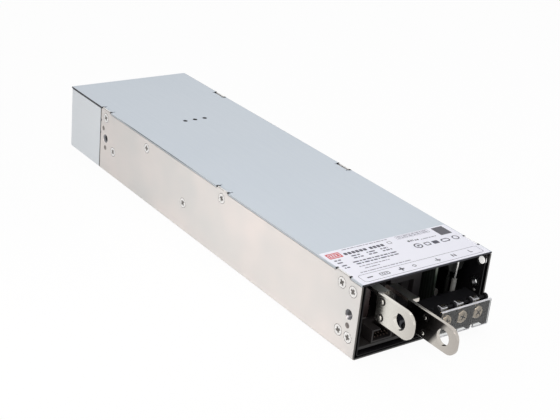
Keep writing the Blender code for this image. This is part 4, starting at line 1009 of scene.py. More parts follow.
def cross_cutters(reach, width, depth, taper):
    """Two crossed blades about the Z axis that narrow downwards."""
    arms = []
    for x, y in ((reach, width / 2), (width / 2, reach)):
        arm = add_box("recess", (-x, -y, -depth), (x, y, depth))
        select_parts(arm, "FACE", lambda face: face.normal.z < -0.9)
        bpy.ops.transform.resize(value=(taper, taper, 1))
        bpy.ops.object.mode_set(mode="OBJECT")
        arms.append(arm)
    return arms


def in_screw_recess(face):
    """Tells whether a face of the countersunk screw is a wall or the floor of its recess."""
    deepest = -head_depth - shank_length / 2
    return face.center.xy.length < recess_limit and deepest < face.center.z < -recess_start


def countersunk_screw():
    """A screw along +Z, its face at the origin's height."""
    head = add_rod("case_screw", (0, 0, -head_depth), (0, 0, 0), shank_radius, head_radius)
    select_parts(head, "FACE", lambda face: face.normal.z < -0.9)
    bpy.ops.mesh.extrude_region_move(TRANSFORM_OT_translate={"value": (0, 0, -shank_length)})
    bpy.ops.object.mode_set(mode="OBJECT")
    round_edges(head, head_round, 2, 40)
    cut_away(head, *cross_cutters(recess_reach, recess_width, recess_depth, recess_taper))
    # The recess is painted near-black: painted shade.
    dress(head, screw_metal, recess_shade, in_screw_recess)
    # A grey ring in the gap around the head: painted shade.
    groove = add_rod("groove", (0, 0, -head_depth / 2), (0, 0, -groove_sink), groove_radius)
    round_edges(groove, groove_round, 2, 40)
    return merge("case_screw", [head, dress(groove, groove_shade)])


screw = countersunk_screw()
print("screw faces:", len(screw.data.polygons))

# %% [markdown]
# ## Where the screws go
# Both side walls carry the same six screws, and the left one has three more at the open end. Two
# loops copy the screw into the countersinks. Each copy is turned a little further about its own
# axis, because no two screws stop at the same angle.

# %% The screws' places
tab_ys = (-135.3 * mm, -29.4 * mm, 102.9 * mm)
tab_z = 35.6 * mm
wall_screws = [(y, tab_z) for y in tab_ys]
wall_screws += [(92.7 * mm, 16.8 * mm), (52.2 * mm, 34.4 * mm), (9.0 * mm, 17.0 * mm)]
left_only = [(-144.3 * mm, 9.9 * mm), (-136.8 * mm, 10.4 * mm), (-143.9 * mm, 34.6 * mm)]
screw_turn = math.radians(37)


def drive_screws():
    """Copies the screw into each countersink of both side walls."""
    count = 0
    for sign, places in ((-1, wall_screws + left_only), (1, wall_screws)):
        for y, z in places:
            count += 1
            turn = Matrix.Rotation(count * screw_turn, 4, "Z")
            face = Matrix.Rotation(sign * math.pi / 2, 4, "Y")
            place = Matrix.Translation((sign * side_x, y, z))
            twin = copy_to(screw, f"case_screw_{count}", place @ face @ turn)
            attach(twin)
    return count


driven = drive_screws()
bpy.data.objects.remove(screw)
print("case screws:", driven)

# %% [markdown]
# ## Dimples beside the mounting holes
# Small round dents beside the threaded holes mark where the sheet was spot pressed. A darker spot of
# paint would look flat from the side. So each is a shallow dish with a darker floor: a disc whose
# face is inset and pushed in, twice.

# %% Dimples
dimple_radius = 1.5 * mm
dimple_depth = 0.35 * mm
dimple_proud = 0.03 * mm
dimple_rim = 0.15 * mm
dimple_ring = 0.4 * mm
dimple_places = [(-143.1 * mm, 16 * mm), (102.7 * mm, 16 * mm), (105.6 * mm, 28 * mm)]


def dimple():
    """A dish that opens towards +Z, its rim at the origin's height."""
    dish = add_rod("dimple", (0, 0, -2 * dimple_depth), (0, 0, dimple_proud), dimple_radius)
    select_parts(dish, "FACE", lambda face: face.normal.z > 0.9)
    bpy.ops.mesh.inset(thickness=dimple_rim)
    bpy.ops.mesh.inset(thickness=dimple_ring)
    bpy.ops.transform.translate(value=(0, 0, -0.6 * dimple_depth))
    bpy.ops.mesh.inset(thickness=dimple_ring)
    bpy.ops.transform.translate(value=(0, 0, -0.4 * dimple_depth))
    bpy.ops.object.mode_set(mode="OBJECT")
    return dress(dish, dimple_dark_nickel, smooth=80)


dish = dimple()
for index, (y, z) in enumerate(dimple_places):
    face = Matrix.Translation((-side_x, y, z)) @ Matrix.Rotation(-math.pi / 2, 4, "Y")
    attach(copy_to(dish, f"side_dimple_{index + 1}", face))
bpy.data.objects.remove(dish)
print("dimples:", len(dimple_places))

# %% [markdown]
# ## Relief cuts, folded tabs, seam slots and vents
# The lid is held by folded tabs. Each fold ends in a small relief cut, which is a dark dot from
# outside, and the fold itself shows a bright line. The seam has two slots to a side, and the lid has
# three small vents. Cutting deeper into the sheet would show the lit inside, so black boxes and discs
# are let into the gaps as painted shade. The bright line is a painted highlight: a rod of brighter
# metal, flattened to a strip.

# %% Gaps and folds
tab_half = 4.7 * mm
cut_width = 1.35 * mm
cut_inner = 41.0 * mm
cut_depth = 0.65 * mm
cut_proud = 0.1 * mm
fold_half = 4.6 * mm
fold_radius = 0.45 * mm
fold_inset = 0.52 * mm
fold_share = 0.4
side_proud = 0.03 * mm
slot_heights = (32.5 * mm, 24.5 * mm)
slot_depth = 1.0 * mm
slot_half_width = 0.5 * mm
slot_half_height = 0.75 * mm
vent_xs = (-6 * mm, 1 * mm, 8 * mm)
vent_y = 68.7 * mm
vent_radius = 1.46 * mm
vent_floor = 0.95 * mm
vent_sink = 0.08 * mm


def gap_box(low, high):
    """A small dark box between two corners: painted shade in a gap."""
    return round_edges(add_box("gap", low, high), 0.08 * mm, 1)


def side_span(sign, inner):
    """The low and high X of a gap in one side, from its inner end to just past the wall."""
    return sorted((sign * inner, sign * (side_x + side_proud)))


def relief_cuts(sign):
    """A dark gap at both ends of each tab on one side."""
    low_x, high_x = side_span(sign, cut_inner)
    gaps = []
    for y in tab_ys:
        for way in (-1, 1):
            near, far = sorted((y + way * tab_half, y + way * (tab_half + cut_width)))
            gaps.append(gap_box((low_x, near, top_z - cut_depth), (high_x, far, top_z + cut_proud)))
    return gaps


def tab_fold_highlights(sign):
    """A painted highlight: a strip of brighter metal along the fold of each tab on one side."""
    flatten = Matrix.Translation((0, 0, top_z)) @ Matrix.Scale(fold_share, 4, (0, 0, 1))
    x = sign * (side_x - fold_inset)
    folds = []
    for y in tab_ys:
        fold = add_rod("fold", (x, y - fold_half, top_z), (x, y + fold_half, top_z), fold_radius, sides=12)
        fold.data.transform(flatten @ Matrix.Translation((0, 0, -top_z)))
        folds.append(fold)
    return folds


def seam_slots(sign):
    """The dark slots in the seam on one side."""
    low_x, high_x = side_span(sign, side_x - slot_depth)
    gaps = []
    for z in slot_heights:
        low = (low_x, seam_y - slot_half_width, z - slot_half_height)
        gaps.append(gap_box(low, (high_x, seam_y + slot_half_width, z + slot_half_height)))
    return gaps


def vent_floors():
    """The dark floors of the vents in the lid."""
    gaps = []
    for x in vent_xs:
        vent = add_rod("gap", (x, vent_y, top_z - vent_floor), (x, vent_y, top_z - vent_sink), vent_radius)
        gaps.append(round_edges(vent, 0.06 * mm, 1))
    return gaps


gaps, folds = [], []
for sign in (-1, 1):
    gaps += relief_cuts(sign) + seam_slots(sign)
    folds += tab_fold_highlights(sign)
gaps += vent_floors()
# Painted shade: the dark pieces in the gaps.
finish_piece(merge("relief_cuts", gaps), gap_shade_black)
# Painted highlight: the bright strips on the tab folds.
finish_piece(merge("tab_fold_highlights", folds), screw_metal, smooth=40)
print("gaps:", len(gaps), "folds:", len(folds))

# %% [markdown]
# ## Threaded mounting holes
# The four side holes that carry the supply are threaded, and the thread's ridges glint inside them.
# A thread is a helix, but so small a one looks the same as a stack of rings. So half of the section
# is drawn as a saw-tooth outline and spun about the hole's axis, and the seam of the spin is merged.

# %% Threaded holes
thread_low = 1.72 * mm
thread_high = 2.05 * mm
thread_pitch = 0.5 * mm
thread_turns = 5
thread_start = 0.7 * mm
bush_radius = 2.7 * mm
bush_sink = 0.12 * mm
mount_places = [(-1, -143.1 * mm), (-1, 102.7 * mm), (1, -144.8 * mm), (1, 102.7 * mm)]
mount_z = 22 * mm


def spun(name, profile, steps=40):
    """A closed (radius, height) outline spun about the Z axis."""
    mesh = bpy.data.meshes.new(name)
    count = len(profile)
    edges = [(index, (index + 1) % count) for index in range(count)]
    mesh.from_pydata([(radius, 0, height) for radius, height in profile], edges, [])
    piece = bpy.data.objects.new(name, mesh)
    bpy.context.collection.objects.link(piece)
    take(piece)
    bpy.ops.object.mode_set(mode="EDIT")
    bpy.ops.mesh.select_all(action="SELECT")
    bpy.ops.mesh.spin(steps=steps, angle=2 * math.pi, center=(0, 0, 0), axis=(0, 0, 1))
    bpy.ops.mesh.select_all(action="SELECT")
    bpy.ops.mesh.remove_doubles(threshold=1e-6)
    bpy.ops.mesh.normals_make_consistent(inside=False)
    bpy.ops.object.mode_set(mode="OBJECT")
    return piece


def threaded_bush():
    """A bush along Z, its chamfered mouth just under the origin's height."""
    foot = -thread_start - thread_turns * thread_pitch
    outline = [(bush_radius, -bush_sink), (bush_radius, foot)]
    for turn in range(thread_turns):
        height = foot + turn * thread_pitch
        outline += [(thread_low, height), (thread_high, height + thread_pitch / 2)]
    outline += [(thread_low, -thread_start)]
    return dress(spun("threaded_bush", outline), thread_metal)


bush = threaded_bush()
for index, (sign, y) in enumerate(mount_places):
    face = Matrix.Translation((sign * side_x, y, mount_z)) @ Matrix.Rotation(sign * math.pi / 2, 4, "Y")
    attach(copy_to(bush, f"mount_thread_{index + 1}", face))
bpy.data.objects.remove(bush)
print("threaded holes:", len(mount_places))

# %% [markdown]
# ## The label
# A thin white film covers the front of the lid. It could be painted on, but its cut edge catches
# light and shows its thickness. So it is a very flat box whose four upright edges are rounded. It
# carries rows of small print, fields, outlines, and the signs of the terminals.

# %% Label sheet
label_half = 41.9 * mm
label_near = 0.2 * mm
label_far = 35.2 * mm
label_thickness = 0.08 * mm
label_sink = 0.01 * mm
label_corner = 0.8 * mm
ink_proud = 0.015 * mm
ink_top = top_z + label_thickness + ink_proud
ink_low = top_z + label_thickness / 2

sheet_low = (-label_half, front_y + label_near, top_z - label_sink)
sheet_high = (label_half, front_y + label_far, top_z + label_thickness)
label = add_box("label_sheet", sheet_low, sheet_high)
round_uprights(label, label_corner)
finish_piece(label, label_film)
print("label:", [round(v / mm, 1) for v in label.dimensions])

# %% [markdown]
# ## Shapes of ink
# Ink is far thinner than the film, so each field, ring or word is a very flat plate that stands just
# proud of it. At this size words read as small bars, so a word is a copy of one rounded bar that is
# stretched to its length.

# %% Ink shapes
word_lengths = (3.1, 1.6, 2.4, 0.9, 3.8, 1.3, 2.0, 2.9, 1.1)
word_gap = 0.55
shortest_word = 0.4
bar_corner_share = 0.28
window_growth = 4


def ink_plate(name, x0, y0, x1, y1, radius=0.0):
    """A flat printed field between two corners, in mm across and from the front."""
    low = (x0 * mm, front_y + y0 * mm, ink_low)
    high = (x1 * mm, front_y + y1 * mm, ink_top)
    piece = add_box(name, low, high)
    if radius:
        round_uprights(piece, radius * mm)
    return piece


def ink_frame(name, x0, y0, x1, y1, line, radius):
    """The outline of a rounded field."""
    outer = ink_plate(name, x0, y0, x1, y1, radius)
    inner = ink_plate("window", x0 + line, y0 + line, x1 - line, y1 - line, radius - line)
    inner.data.transform(Matrix.Translation((0, 0, -ink_low)))
    inner.data.transform(Matrix.Scale(window_growth, 4, (0, 0, 1)))
    inner.data.transform(Matrix.Translation((0, 0, ink_low - label_thickness)))
    return cut_away(outer, inner)


def ink_ring(name, x, y, radius, line):
    """A printed circle line."""
    middle = Vector((x * mm, front_y + y * mm, 0))
    low, high = Vector((0, 0, ink_low)), Vector((0, 0, ink_top))
    ring = add_rod(name, middle + low, middle + high, radius * mm)
    over = Vector((0, 0, label_thickness))
    hole = add_rod("hole", middle + low - over, middle + high + over, (radius - line) * mm)
    return cut_away(ring, hole)


bar = add_box("bar", (-0.5, -0.5, -0.5), (0.5, 0.5, 0.5))
round_uprights(bar, bar_corner_share)
bar_thickness = ink_top - ink_low


def ink_bar(x, y, length, height):
    """A copy of the rounded bar, its left end at x and its middle at y."""
    place = Vector(((x + length / 2) * mm, front_y + y * mm, (ink_low + ink_top) / 2))
    size = Matrix.Diagonal((length * mm, height * mm, bar_thickness, 1))
    return copy_to(bar, "word", Matrix.Translation(place) @ size)


def ink_row(x0, x1, y, height, start=0, gap=word_gap, stretch=1.0):
    """Bars of unlike lengths from x0 to x1."""
    words = []
    x = x0
    index = start
    while x < x1 - shortest_word:
        length = min(stretch * word_lengths[index % len(word_lengths)], x1 - x)
        words.append(ink_bar(x, y, length, height))
        x += length + gap
        index += 1
    return words


print("ink helpers ready")

# %% [markdown]
# ## Rows of print
# The film has a bold heading, columns of short words and several lines of small print. Each row is
# listed by where it starts and ends across the label and how far it is from the front edge, and one
# loop fills it with words. The darkest ink is for the heading and the palest for the smallest lines.

# %% Rows of print
heading_y = 29.7
heading_pitch = 2.45
heading_length = 1.95
heading_height = 2.3
grey_height = 1.05
pale_height = 0.65
pale_gap = 0.35

dark_words = []
for x0, blocks in ((-30.2, 6), (-14.0, 4)):
    for step in range(blocks):
        dark_words.append(ink_bar(x0 + heading_pitch * step, heading_y, heading_length, heading_height))
dark_words += ink_row(9.4, 13.2, 27.4, 1.5, 0, 0.5, 0.5)
dark_words += ink_row(14.0, 16.4, 27.0, 1.3, 1, 0.5, 0.5)

grey_words = []
for x0, x1, y, start in (
    (-39.4, -35.4, 25.6, 1),
    (-28.0, -22.4, 26.6, 0),
    (-18.4, -13.0, 26.5, 3),
    (-9.4, -4.6, 26.6, 5),
    (-39.4, -36.2, 23.0, 4),
    (-28.2, -22.0, 24.4, 2),
    (-18.6, -12.6, 24.4, 6),
    (-9.6, -3.4, 24.4, 1),
    (-39.2, -35.4, 19.9, 0),
    (-31.6, -3.6, 20.9, 4),
    (-39.2, -36.0, 17.6, 3),
    (-31.0, -4.2, 18.7, 7),
):
    grey_words += ink_row(x0, x1, y, grey_height, start)

pale_words = []
for x0, x1, y, start in (
    (-28.5, 0.9, 33.9, 0),
    (-31.6, -12.4, 15.9, 5),
    (-30.0, -20.0, 13.6, 2),
    (-35.2, -3.0, 10.7, 1),
    (17.6, 28.0, 26.4, 3),
    (7.2, 27.4, 33.6, 2),
    (7.2, 27.4, 32.3, 6),
):
    pale_words += ink_row(x0, x1, y, pale_height, start, pale_gap)

for name, words, ink in (
    ("label_dark_words", dark_words, ink_dark),
    ("label_grey_words", grey_words, ink_grey),
    ("label_pale_words", pale_words, ink_pale),
):
    finish_piece(merge(name, words), ink)
bpy.data.objects.remove(bar)
print("words:", len(dark_words) + len(grey_words) + len(pale_words))

# %% [markdown]
# ## Fields and outlines
# A red field with a pale inlay, a dark field, a row of small outlines and two long frames fill the
# rest of the label. A frame is a rounded plate with a smaller one cut out of it, because a thin line
# swept around a corner would change its width there.

# %% Fields and outlines
def label_fields():
    """The red field with its pale inlay, the dark field, and the outlines on the right."""
    red = ink_plate("label_red_field", -40.0, 27.9, -31.7, 33.0, 0.5)
    inlay = ink_frame("window", -39.2, 28.7, -32.5, 32.2, 0.35, 0.6)
    lines = [ink_plate("stripe", x, 29.5, x + 0.7, 31.4, 0.3) for x in (-38.0, -36.5, -35.0)]
    for piece in (inlay, *lines):
        piece.data.transform(Matrix.Translation((0, 0, ink_proud / 2)))
    finish_piece(red, ink_red)
    finish_piece(merge("label_red_inlay", [inlay, *lines]), label_film)

    field = ink_plate("label_dark_field", 31.2, 25.6, 38.8, 34.2, 0.4)
    finish_piece(field, ink_field)

    outlines = [
        ink_frame("outline", -1.5, 29.2, 0.9, 31.6, 0.3, 0.35),
        ink_frame("outline", 15.6, 19.4, 19.2, 22.8, 0.65, 0.7),
        ink_frame("outline", 26.4, 18.9, 32.0, 22.2, 0.7, 1.5),
        ink_ring("outline", 11.3, 21.3, 2.5, 0.75),
        ink_plate("outline", 10.5, 20.6, 12.1, 22.0, 0.4),
        ink_plate("outline", 20.8, 19.3, 24.6, 22.4, 0.5),
        ink_ring("outline", 36.4, 20.6, 2.1, 0.65),
    ]
    finish_piece(merge("label_outlines", outlines), ink_dark)

    frames = [
        ink_frame("frame", -39.0, 1.7, 39.0, 8.8, 0.24, 1.5),
        ink_frame("frame", 6.2, 31.2, 28.4, 34.6, 0.16, 0.3),
    ]
    finish_piece(merge("label_frames", frames), ink_grey)


label_fields()
print("label fields ready")

# %% [markdown]
# ## Terminal marks
# The row at the front names what is below it with general signs: minus, plus, earth, N and L. The
# strokes of a sign are plates. The two letters are text objects with a little thickness, turned into
# meshes, because drawing their outlines by hand would gain nothing.

# %% Terminal marks
letter_growth = 0.12 * mm
letter_size = 3.6
mark_y = 5.2


def letter(text, x, y, size):
    """One printed letter as a thin closed mesh."""
    bpy.ops.object.select_all(action="DESELECT")
    place = (x * mm, front_y + y * mm, (ink_low + ink_top) / 2)
    bpy.ops.object.text_add(location=place)
    piece = bpy.context.object
    piece.data.body = text
    piece.data.size = size * mm
    piece.data.align_x = "CENTER"
    piece.data.align_y = "CENTER"
    piece.data.extrude = bar_thickness / 2
    piece.data.bevel_depth = letter_growth
    bpy.ops.object.convert(target="MESH")
    settle(piece)
    flatten = Matrix.Scale(bar_thickness / (bar_thickness + 2 * letter_growth), 4, (0, 0, 1))
    level = Matrix.Translation((0, 0, (ink_low + ink_top) / 2))
    piece.data.transform(level @ flatten @ level.inverted())
    bpy.ops.object.mode_set(mode="EDIT")
    bpy.ops.mesh.select_all(action="SELECT")
    bpy.ops.mesh.remove_doubles(threshold=1e-7)
    bpy.ops.object.mode_set(mode="OBJECT")
    return piece


def terminal_marks():
    """Minus, socket, plus, lamp, earth, neutral and line, above what they name."""
    middle = mark_y
    marks = [
        ink_plate("mark", -35.4, middle - 0.45, -32.0, middle + 0.45, 0.15),
        ink_plate("mark", -15.6, middle - 0.45, -12.2, middle + 0.45, 0.15),
        ink_plate("mark", -14.35, middle - 1.7, -13.45, middle + 1.7, 0.15),
        ink_frame("mark", -27.6, middle - 1.3, -21.6, middle + 1.3, 0.45, 0.5),
        ink_ring("mark", -5.6, middle, 1.1, 0.4),
        ink_plate("mark", 9.45, middle, 9.95, middle + 1.7, 0.1),
        ink_plate("mark", 7.9, middle - 0.45, 11.5, middle + 0.05, 0.1),
        ink_plate("mark", 8.5, middle - 1.15, 10.9, middle - 0.75, 0.1),
        ink_plate("mark", 9.2, middle - 1.8, 10.2, middle - 1.45, 0.1),
        letter("N", 20.8, middle, letter_size),
        letter("L", 32.1, middle, letter_size),
    ]
    for x in (-26.4, -25.0, -23.6):
        marks.append(ink_plate("mark", x, middle - 0.4, x + 0.8, middle + 0.4, 0.2))
    return finish_piece(merge("terminal_marks", marks), ink_dark)


print("marks:", len(terminal_marks().data.polygons), "faces")

# %% [markdown]
# ## Terminal screws
# Each pole has a pan-head screw with a crossed recess over a square clamp. The CAD screw is plain,
# so a finer one stands for it: a domed head from a bevelled cylinder, with the recess cut in.

# %% Pan-head screws
def pan_screw(metal, radius, depth, shank, length, sides=32):
    """A pan-head screw along +Z, the seat of its head at the origin."""
    head = add_rod("screw", (0, 0, 0), (0, 0, depth), radius, sides=sides)
    select_parts(head, "FACE", lambda face: face.normal.z > 0.9)
    bpy.ops.mesh.bevel(offset=0.42 * depth, segments=4, profile=0.55, affect="EDGES")
    bpy.ops.object.mode_set(mode="OBJECT")
    select_parts(head, "FACE", lambda face: face.normal.z < -0.99)
    bpy.ops.mesh.inset(thickness=radius - shank)
    bpy.ops.mesh.extrude_region_move(TRANSFORM_OT_translate={"value": (0, 0, -length)})
    bpy.ops.object.mode_set(mode="OBJECT")
    cutters = cross_cutters(0.62 * radius, 0.26 * radius, 0.62 * depth, 0.6)
    for cutter in cutters:
        cutter.data.transform(Matrix.Translation((0, 0, depth)))
    cut_away(head, *cutters)
    in_recess = lambda face: face.center.xy.length < 0.6 * radius and 0 < face.center.z < 0.97 * depth
    # The recess is painted near-black: painted shade.
    dress(head, metal, recess_shade, in_recess)
    return head


def pole_screws():
    low, high = (Vector(corner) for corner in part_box("terminal_screw_1"))
    seat_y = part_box("terminal_clamp_1")[0][1]
    master = pan_screw(pole_metal, (high.x - low.x) / 2, seat_y - low.y, 1.6 * mm, 5.0 * mm)
    for index in (1, 2, 3):
        low, high = (Vector(corner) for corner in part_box(f"terminal_screw_{index}"))
        place = Matrix.Translation(((low.x + high.x) / 2, seat_y, (low.z + high.z) / 2))
        turn = Matrix.Rotation(math.pi / 2, 4, "X") @ Matrix.Rotation(0.5 + 1.1 * index, 4, "Z")
        twin = copy_to(master, f"pole_screw_{index}", place @ turn)
        attach(twin)
        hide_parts(f"terminal_screw_{index}")
    bpy.data.objects.remove(master)


pole_screws()
print("pole screws: 3")

# %% [markdown]
# ## The clear cover
# The hinged cover is a thin clear moulding: a front plate with notched lower edge, and three hooks
# that clip over the hinge rod. Its top edge, the tops of its hooks and the feet of its plate carry
# painted highlights, as opaque pale strips. The plate starts as a box, and its notches and hooks are
# cut and bridged as on the real moulding.

# %% Clear cover
plate_depth = 0.9 * mm
hinge = Vector((0, -155.5 * mm, 19.3 * mm))
hook_outer = 1.5 * mm
hook_inner = 0.98 * mm
hook_width = 4.0 * mm
hook_starts = (5.7 * mm, 16.6 * mm, 27.5 * mm)
notch_xs = (15.1 * mm, 26.0 * mm)


def clear_cover():
    low, high = (Vector(corner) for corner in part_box("terminal_cover"))
    top = hinge.z + 0.7 * mm
    panel = add_box("clear_cover_plate", low, (high.x, low.y + plate_depth, top))
    notches = [
        add_box(
            "notch",
            (x - 1.1 * mm, low.y - plate_depth, low.z - mm),
            (x + 1.1 * mm, low.y + 2 * plate_depth, low.z + 2.2 * mm),
        )
        for x in notch_xs
    ]
    cut_away(panel, *notches)
    round_edges(panel, 0.16 * mm, 2)
    parts = [panel]
    for start in hook_starts:
        ends = Vector((start, hinge.y, hinge.z)), Vector((start + hook_width, hinge.y, hinge.z))
        over = Vector((mm, 0, 0))
        ring = add_rod("hook", *ends, hook_outer)
        cut_away(ring, add_rod("pin", ends[0] - over, ends[1] + over, hook_inner))
        web_low = (start, low.y + plate_depth / 2, top - 0.7 * mm)
        web = add_box("web", web_low, (start + hook_width, hinge.y - hook_inner, top))
        cut_away(web, add_rod("pin", ends[0] - over, ends[1] + over, hook_inner))
        parts += [round_edges(ring, 0.1 * mm, 1), round_edges(web, 0.1 * mm, 1)]
    cover = merge("clear_cover_moulding", parts)
    finish_piece(cover, cover_clear, "clear_cover")
    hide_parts("terminal_cover")

    # Painted highlights: pale strips on the top edge, the hooks and the feet.
    bead_low = (low.x, low.y - 0.05 * mm, top - 0.45 * mm)
    bead = add_box("cover_edge_highlight", bead_low, (high.x, low.y + plate_depth + 0.05 * mm, top + 0.12 * mm))
    round_edges(bead, 0.16 * mm, 2)
    finish_piece(bead, cover_highlight_paint, "clear_cover")
    highlight_strips = []
    for start in hook_starts:
        strip_low = (start, hinge.y - hook_outer, top - 0.1 * mm)
        strip_high = (start + hook_width, hinge.y - hook_outer + 0.5 * mm, top + 0.3 * mm)
        strip = add_box("tick", strip_low, strip_high)
        post_low = (start - 0.15 * mm, hinge.y - hook_outer, hinge.z)
        post = add_box("tick", post_low, (start + 0.35 * mm, hinge.y + hook_outer, top + 0.75 * mm))
        highlight_strips += [round_edges(strip, 0.1 * mm, 2), round_edges(post, 0.1 * mm, 2)]
    stops = [low.x]
    for x in notch_xs:
        stops += [x - 1.1 * mm, x + 1.1 * mm]
    stops.append(high.x)
    for left, right in zip(stops[::2], stops[1::2]):
        foot = add_box("foot", (left, low.y - 0.03 * mm, low.z), (right, low.y + plate_depth, low.z + 0.4 * mm))
        highlight_strips.append(round_edges(foot, 0.1 * mm, 2))
    finish_piece(merge("cover_painted_highlights", highlight_strips), cover_highlight_paint, "clear_cover")


clear_cover()
print("clear cover ready")

# %% [markdown]
# ## Stamped marks on the output bars
# Two raised pips near the root of each bar key the lug that is bolted to it. A punch leaves a
# shallow moat around each pip, and the moat is painted near-black as painted shade.

# %% Bar pips
pip_radius = 1.15 * mm
pip_height = 0.55 * mm
moat_radius = 1.9 * mm


def bar_pips():
    dome = add_rod("pip", (0, 0, -0.3 * mm), (0, 0, pip_height), pip_radius, sides=28)
    select_parts(dome, "FACE", lambda face: face.normal.z > 0.9)
    bpy.ops.mesh.bevel(offset=0.45 * mm, segments=4, affect="EDGES")
    bpy.ops.object.mode_set(mode="OBJECT")
    dress(dome, bar_metal, smooth=60)
    moat = add_rod("moat", (0, 0, -0.3 * mm), (0, 0, 0.07 * mm), moat_radius, sides=28)
    select_parts(moat, "FACE", lambda face: face.normal.z > 0.9)
    bpy.ops.mesh.inset(thickness=0.15 * mm)
    bpy.ops.transform.translate(value=(0, 0, -0.05 * mm))
    bpy.ops.object.mode_set(mode="OBJECT")
    # The moat is painted near-black: painted shade.
    dress(moat, recess_shade, smooth=60)
    count = 0
    for side, hole_y, hole_z in (("negative", -169.5, 29.7), ("positive", -178.9, 21.0)):
        face_x = {"negative": -34.7 * mm, "positive": -14.2 * mm}[side]
        for step in (-1, 1):
            count += 1
            place = (face_x, (hole_y + 12.6) * mm, (hole_z + 4.25 * step) * mm)
            way = Matrix.Translation(place) @ Matrix.Rotation(-math.pi / 2, 4, "Y")
            attach(copy_to(dome, f"bar_pip_{count}", way))
            attach(copy_to(moat, f"bar_moat_{count}", way))
    bpy.data.objects.remove(dome)
    bpy.data.objects.remove(moat)
    return count


print("bar pips:", bar_pips())

# %% [markdown]
# ## Inside the open end
# Behind the terminals a bare lead stands up through a grey sleeve, and the pin header's contacts
# catch a little light. The lead is a curve with a round bevel, made into a mesh once it is bent.

# %% Lead and sleeve
def bent_wire(name, points, radius):
    """A round wire through the points, as a closed mesh."""
    curve = bpy.data.curves.new(name, "CURVE")
    curve.dimensions = "3D"
    curve.bevel_depth = radius
    curve.bevel_resolution = 3
    curve.resolution_u = 6
    curve.use_fill_caps = True
    line = curve.splines.new("BEZIER")
    line.bezier_points.add(len(points) - 1)
    for knot, point in zip(line.bezier_points, points):
        knot.co = [v * mm for v in point]
        knot.handle_left_type = "AUTO"
        knot.handle_right_type = "AUTO"
    piece = bpy.data.objects.new(name, curve)
    bpy.context.collection.objects.link(piece)
    take(piece)
    bpy.ops.object.convert(target="MESH")
    return bpy.context.object


lead_points = [
    (30.6, -138.7, 5.3),
    (30.6, -138.7, 14),
    (30.8, -138.8, 22.5),
    (31.0, -139.0, 27.5),
    (31.3, -139.0, 31.0),
    (31.4, -138.6, 33.0),
]
sleeve_points = [(30.6, -138.7, 5.6), (30.6, -138.7, 14), (30.8, -138.8, 22.7)]
lead = bent_wire("sleeved_lead", lead_points, 0.6 * mm)
finish_piece(lead, bright_lead, smooth=60)
sleeve = bent_wire("lead_sleeve", sleeve_points, 1.35 * mm)
finish_piece(sleeve, sleeve_grey, smooth=60)
print("lead and sleeve ready")

# %% Bare edge of the filter board, and a pilot stud on the right wall
edge_low, edge_high = (Vector(corner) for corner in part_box("filter_board"))
strip_low = (edge_low.x - 0.1 * mm, edge_low.y - 0.08 * mm, edge_low.z + 2 * mm)
strip_high = (edge_high.x + 0.1 * mm, edge_low.y + 0.5 * mm, edge_high.z + 0.1 * mm)
strip = add_box("filter_board_edge", strip_low, strip_high)
round_edges(strip, 0.12 * mm, 2)
finish_piece(strip, bare_edge)
stud_ends = (39.3 * mm, -145.6 * mm, 17.6 * mm), (41.2 * mm, -145.6 * mm, 17.6 * mm)
stud = add_rod("pilot_stud", *stud_ends, 0.8 * mm)
round_edges(stud, 0.3 * mm, 3)
finish_piece(stud, screw_metal, smooth=60)
plug_x = 38.7 * mm
plug_y = -147.6 * mm
plug_z = 36 * mm
plug_head = add_rod("wall_plug", (plug_x, plug_y, plug_z), (plug_x + 0.4 * mm, plug_y, plug_z), 2.05 * mm)
select_parts(plug_head, "FACE", lambda face: face.normal.x < -0.9)
bpy.ops.mesh.inset(thickness=0.5 * mm, use_individual=True)
bpy.ops.object.mode_set(mode="OBJECT")
round_edges(plug_head, 0.12 * mm, 3)
plug_stem = add_rod("stem", (plug_x + 0.3 * mm, plug_y, plug_z), (42.2 * mm, plug_y, plug_z), 0.8 * mm)
round_edges(plug_stem, 0.1 * mm, 2)
plug = merge("wall_plug", [plug_head, plug_stem])
# The plug glows with painted light.
finish_piece(plug, plug_white, smooth=40)
print("board edge, stud and plug ready")

# %% Header contacts
def header_contacts():
    """Ten square pins with pointed tips, copies of one."""
    low, high = (Vector(corner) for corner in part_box("control_connector"))
    middle = (low.x + high.x) / 2
    height = (low.z + high.z) / 2
    side = 0.7 * mm
    pin = add_box("pin", (-side / 2, -4.8 * mm, -side / 2), (side / 2, 4.2 * mm, side / 2))
    select_parts(pin, "FACE", lambda face: face.normal.y < -0.9)
    bpy.ops.mesh.extrude_region_move(TRANSFORM_OT_translate={"value": (0, -0.5 * mm, 0)})
    bpy.ops.transform.resize(value=(0.5, 1, 0.5))
    bpy.ops.object.mode_set(mode="OBJECT")
    pins = []
    for column in range(-2, 3):
        for row in (-1, 1):
            place = Vector((middle + column * 2.0 * mm, low.y + 6.0 * mm, height + row * mm))
            pins.append(copy_to(pin, "pin", Matrix.Translation(place)))
    bpy.data.objects.remove(pin)
    return finish_piece(merge("header_contacts", pins), contact_bronze)


print("contacts:", len(header_contacts().data.polygons), "faces")

# %% [markdown]
# ## The fan end
# Each fan's hub carries a blank paper disc, and self-tapping screws hold the fans to the stamped
# end. They are seen only from behind, but the object is whole from every side.

# %% Guard face
guard_radii = ((4.5, 7.9), (9.0, 12.4), (13.5, 16.9))
guard_spoke = 1.6 * mm
guard_skin = 0.14 * mm
facet_share = 0.985


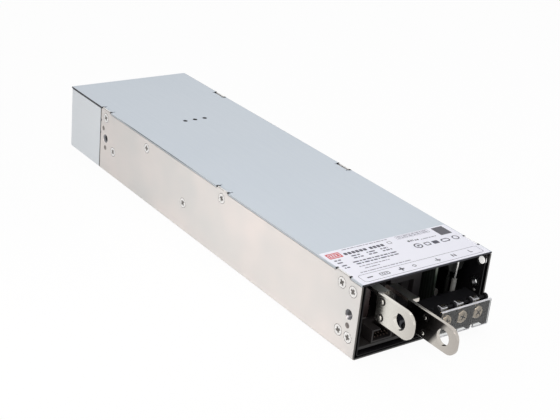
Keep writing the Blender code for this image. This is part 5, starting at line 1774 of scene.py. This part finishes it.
def guard_face():
    """A smooth skin over the stamped end, with ring slots between four spokes."""
    rear_y = housing_high[1]
    low = (housing_low[0] + 0.9 * mm, rear_y - guard_skin, housing_low[2] + 0.9 * mm)
    high = (housing_high[0] - 0.9 * mm, rear_y + guard_skin, housing_high[2] - 0.9 * mm)
    skin = add_box("guard_face", low, high)
    reach = Vector((0, mm, 0))
    for x in (-19.5 * mm, 19.5 * mm):
        middle = Vector((x, rear_y, 20.3 * mm))
        for inner, outer in guard_radii:
            ring = add_rod("slot", middle - reach, middle + reach, outer * facet_share * mm, sides=72)
            cut_away(ring, add_rod("web", middle - 2 * reach, middle + 2 * reach, inner * mm, sides=72))
            for way in (1, -1):
                half = guard_spoke / 2
                spoke = add_box("spoke", (-20 * mm, -2 * mm, -half), (20 * mm, 2 * mm, half))
                turn = Matrix.Rotation(way * math.pi / 4, 4, "Y")
                spoke.data.transform(Matrix.Translation(middle) @ turn)
                cut_away(ring, spoke)
            cut_away(skin, ring)
    round_edges(skin, 0.05 * mm, 1, 60)
    return finish_piece(skin, housing_sheet)


print("guard face:", len(guard_face().data.polygons), "faces")

# %% Hub discs and fan screws
fan_xs = (-19.5 * mm, 19.5 * mm)
fan_height = 20.3 * mm
hole_reach = 16 * mm


def fan_end():
    rotor_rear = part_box("fan_rotor_left")[1][1]
    for name, x in (("left", fan_xs[0]), ("right", fan_xs[1])):
        middle = Vector((x, rotor_rear, fan_height))
        ends = middle - Vector((0, 0.2 * mm, 0)), middle + Vector((0, 0.08 * mm, 0))
        disc = add_rod(f"hub_disc_{name}", *ends, 7.2 * mm)
        select_parts(disc, "FACE", lambda face: face.normal.y > 0.9)
        bpy.ops.mesh.inset(thickness=0.5 * mm)
        bpy.ops.object.mode_set(mode="OBJECT")
        finish_piece(disc, hub_paper, f"{name}_fan")
    master = pan_screw(fan_screw_metal, 2.5 * mm, 1.1 * mm, 1.45 * mm, 6.0 * mm)
    count = 0
    for x in fan_xs:
        for across in (-hole_reach, hole_reach):
            for up in (-hole_reach, hole_reach):
                count += 1
                place = Matrix.Translation((x + across, housing_high[1], fan_height + up))
                turn = Matrix.Rotation(-math.pi / 2, 4, "X") @ Matrix.Rotation(0.7 * count, 4, "Z")
                attach(copy_to(master, f"fan_screw_{count}", place @ turn))
    bpy.data.objects.remove(master)
    return count


print("fan screws:", fan_end())
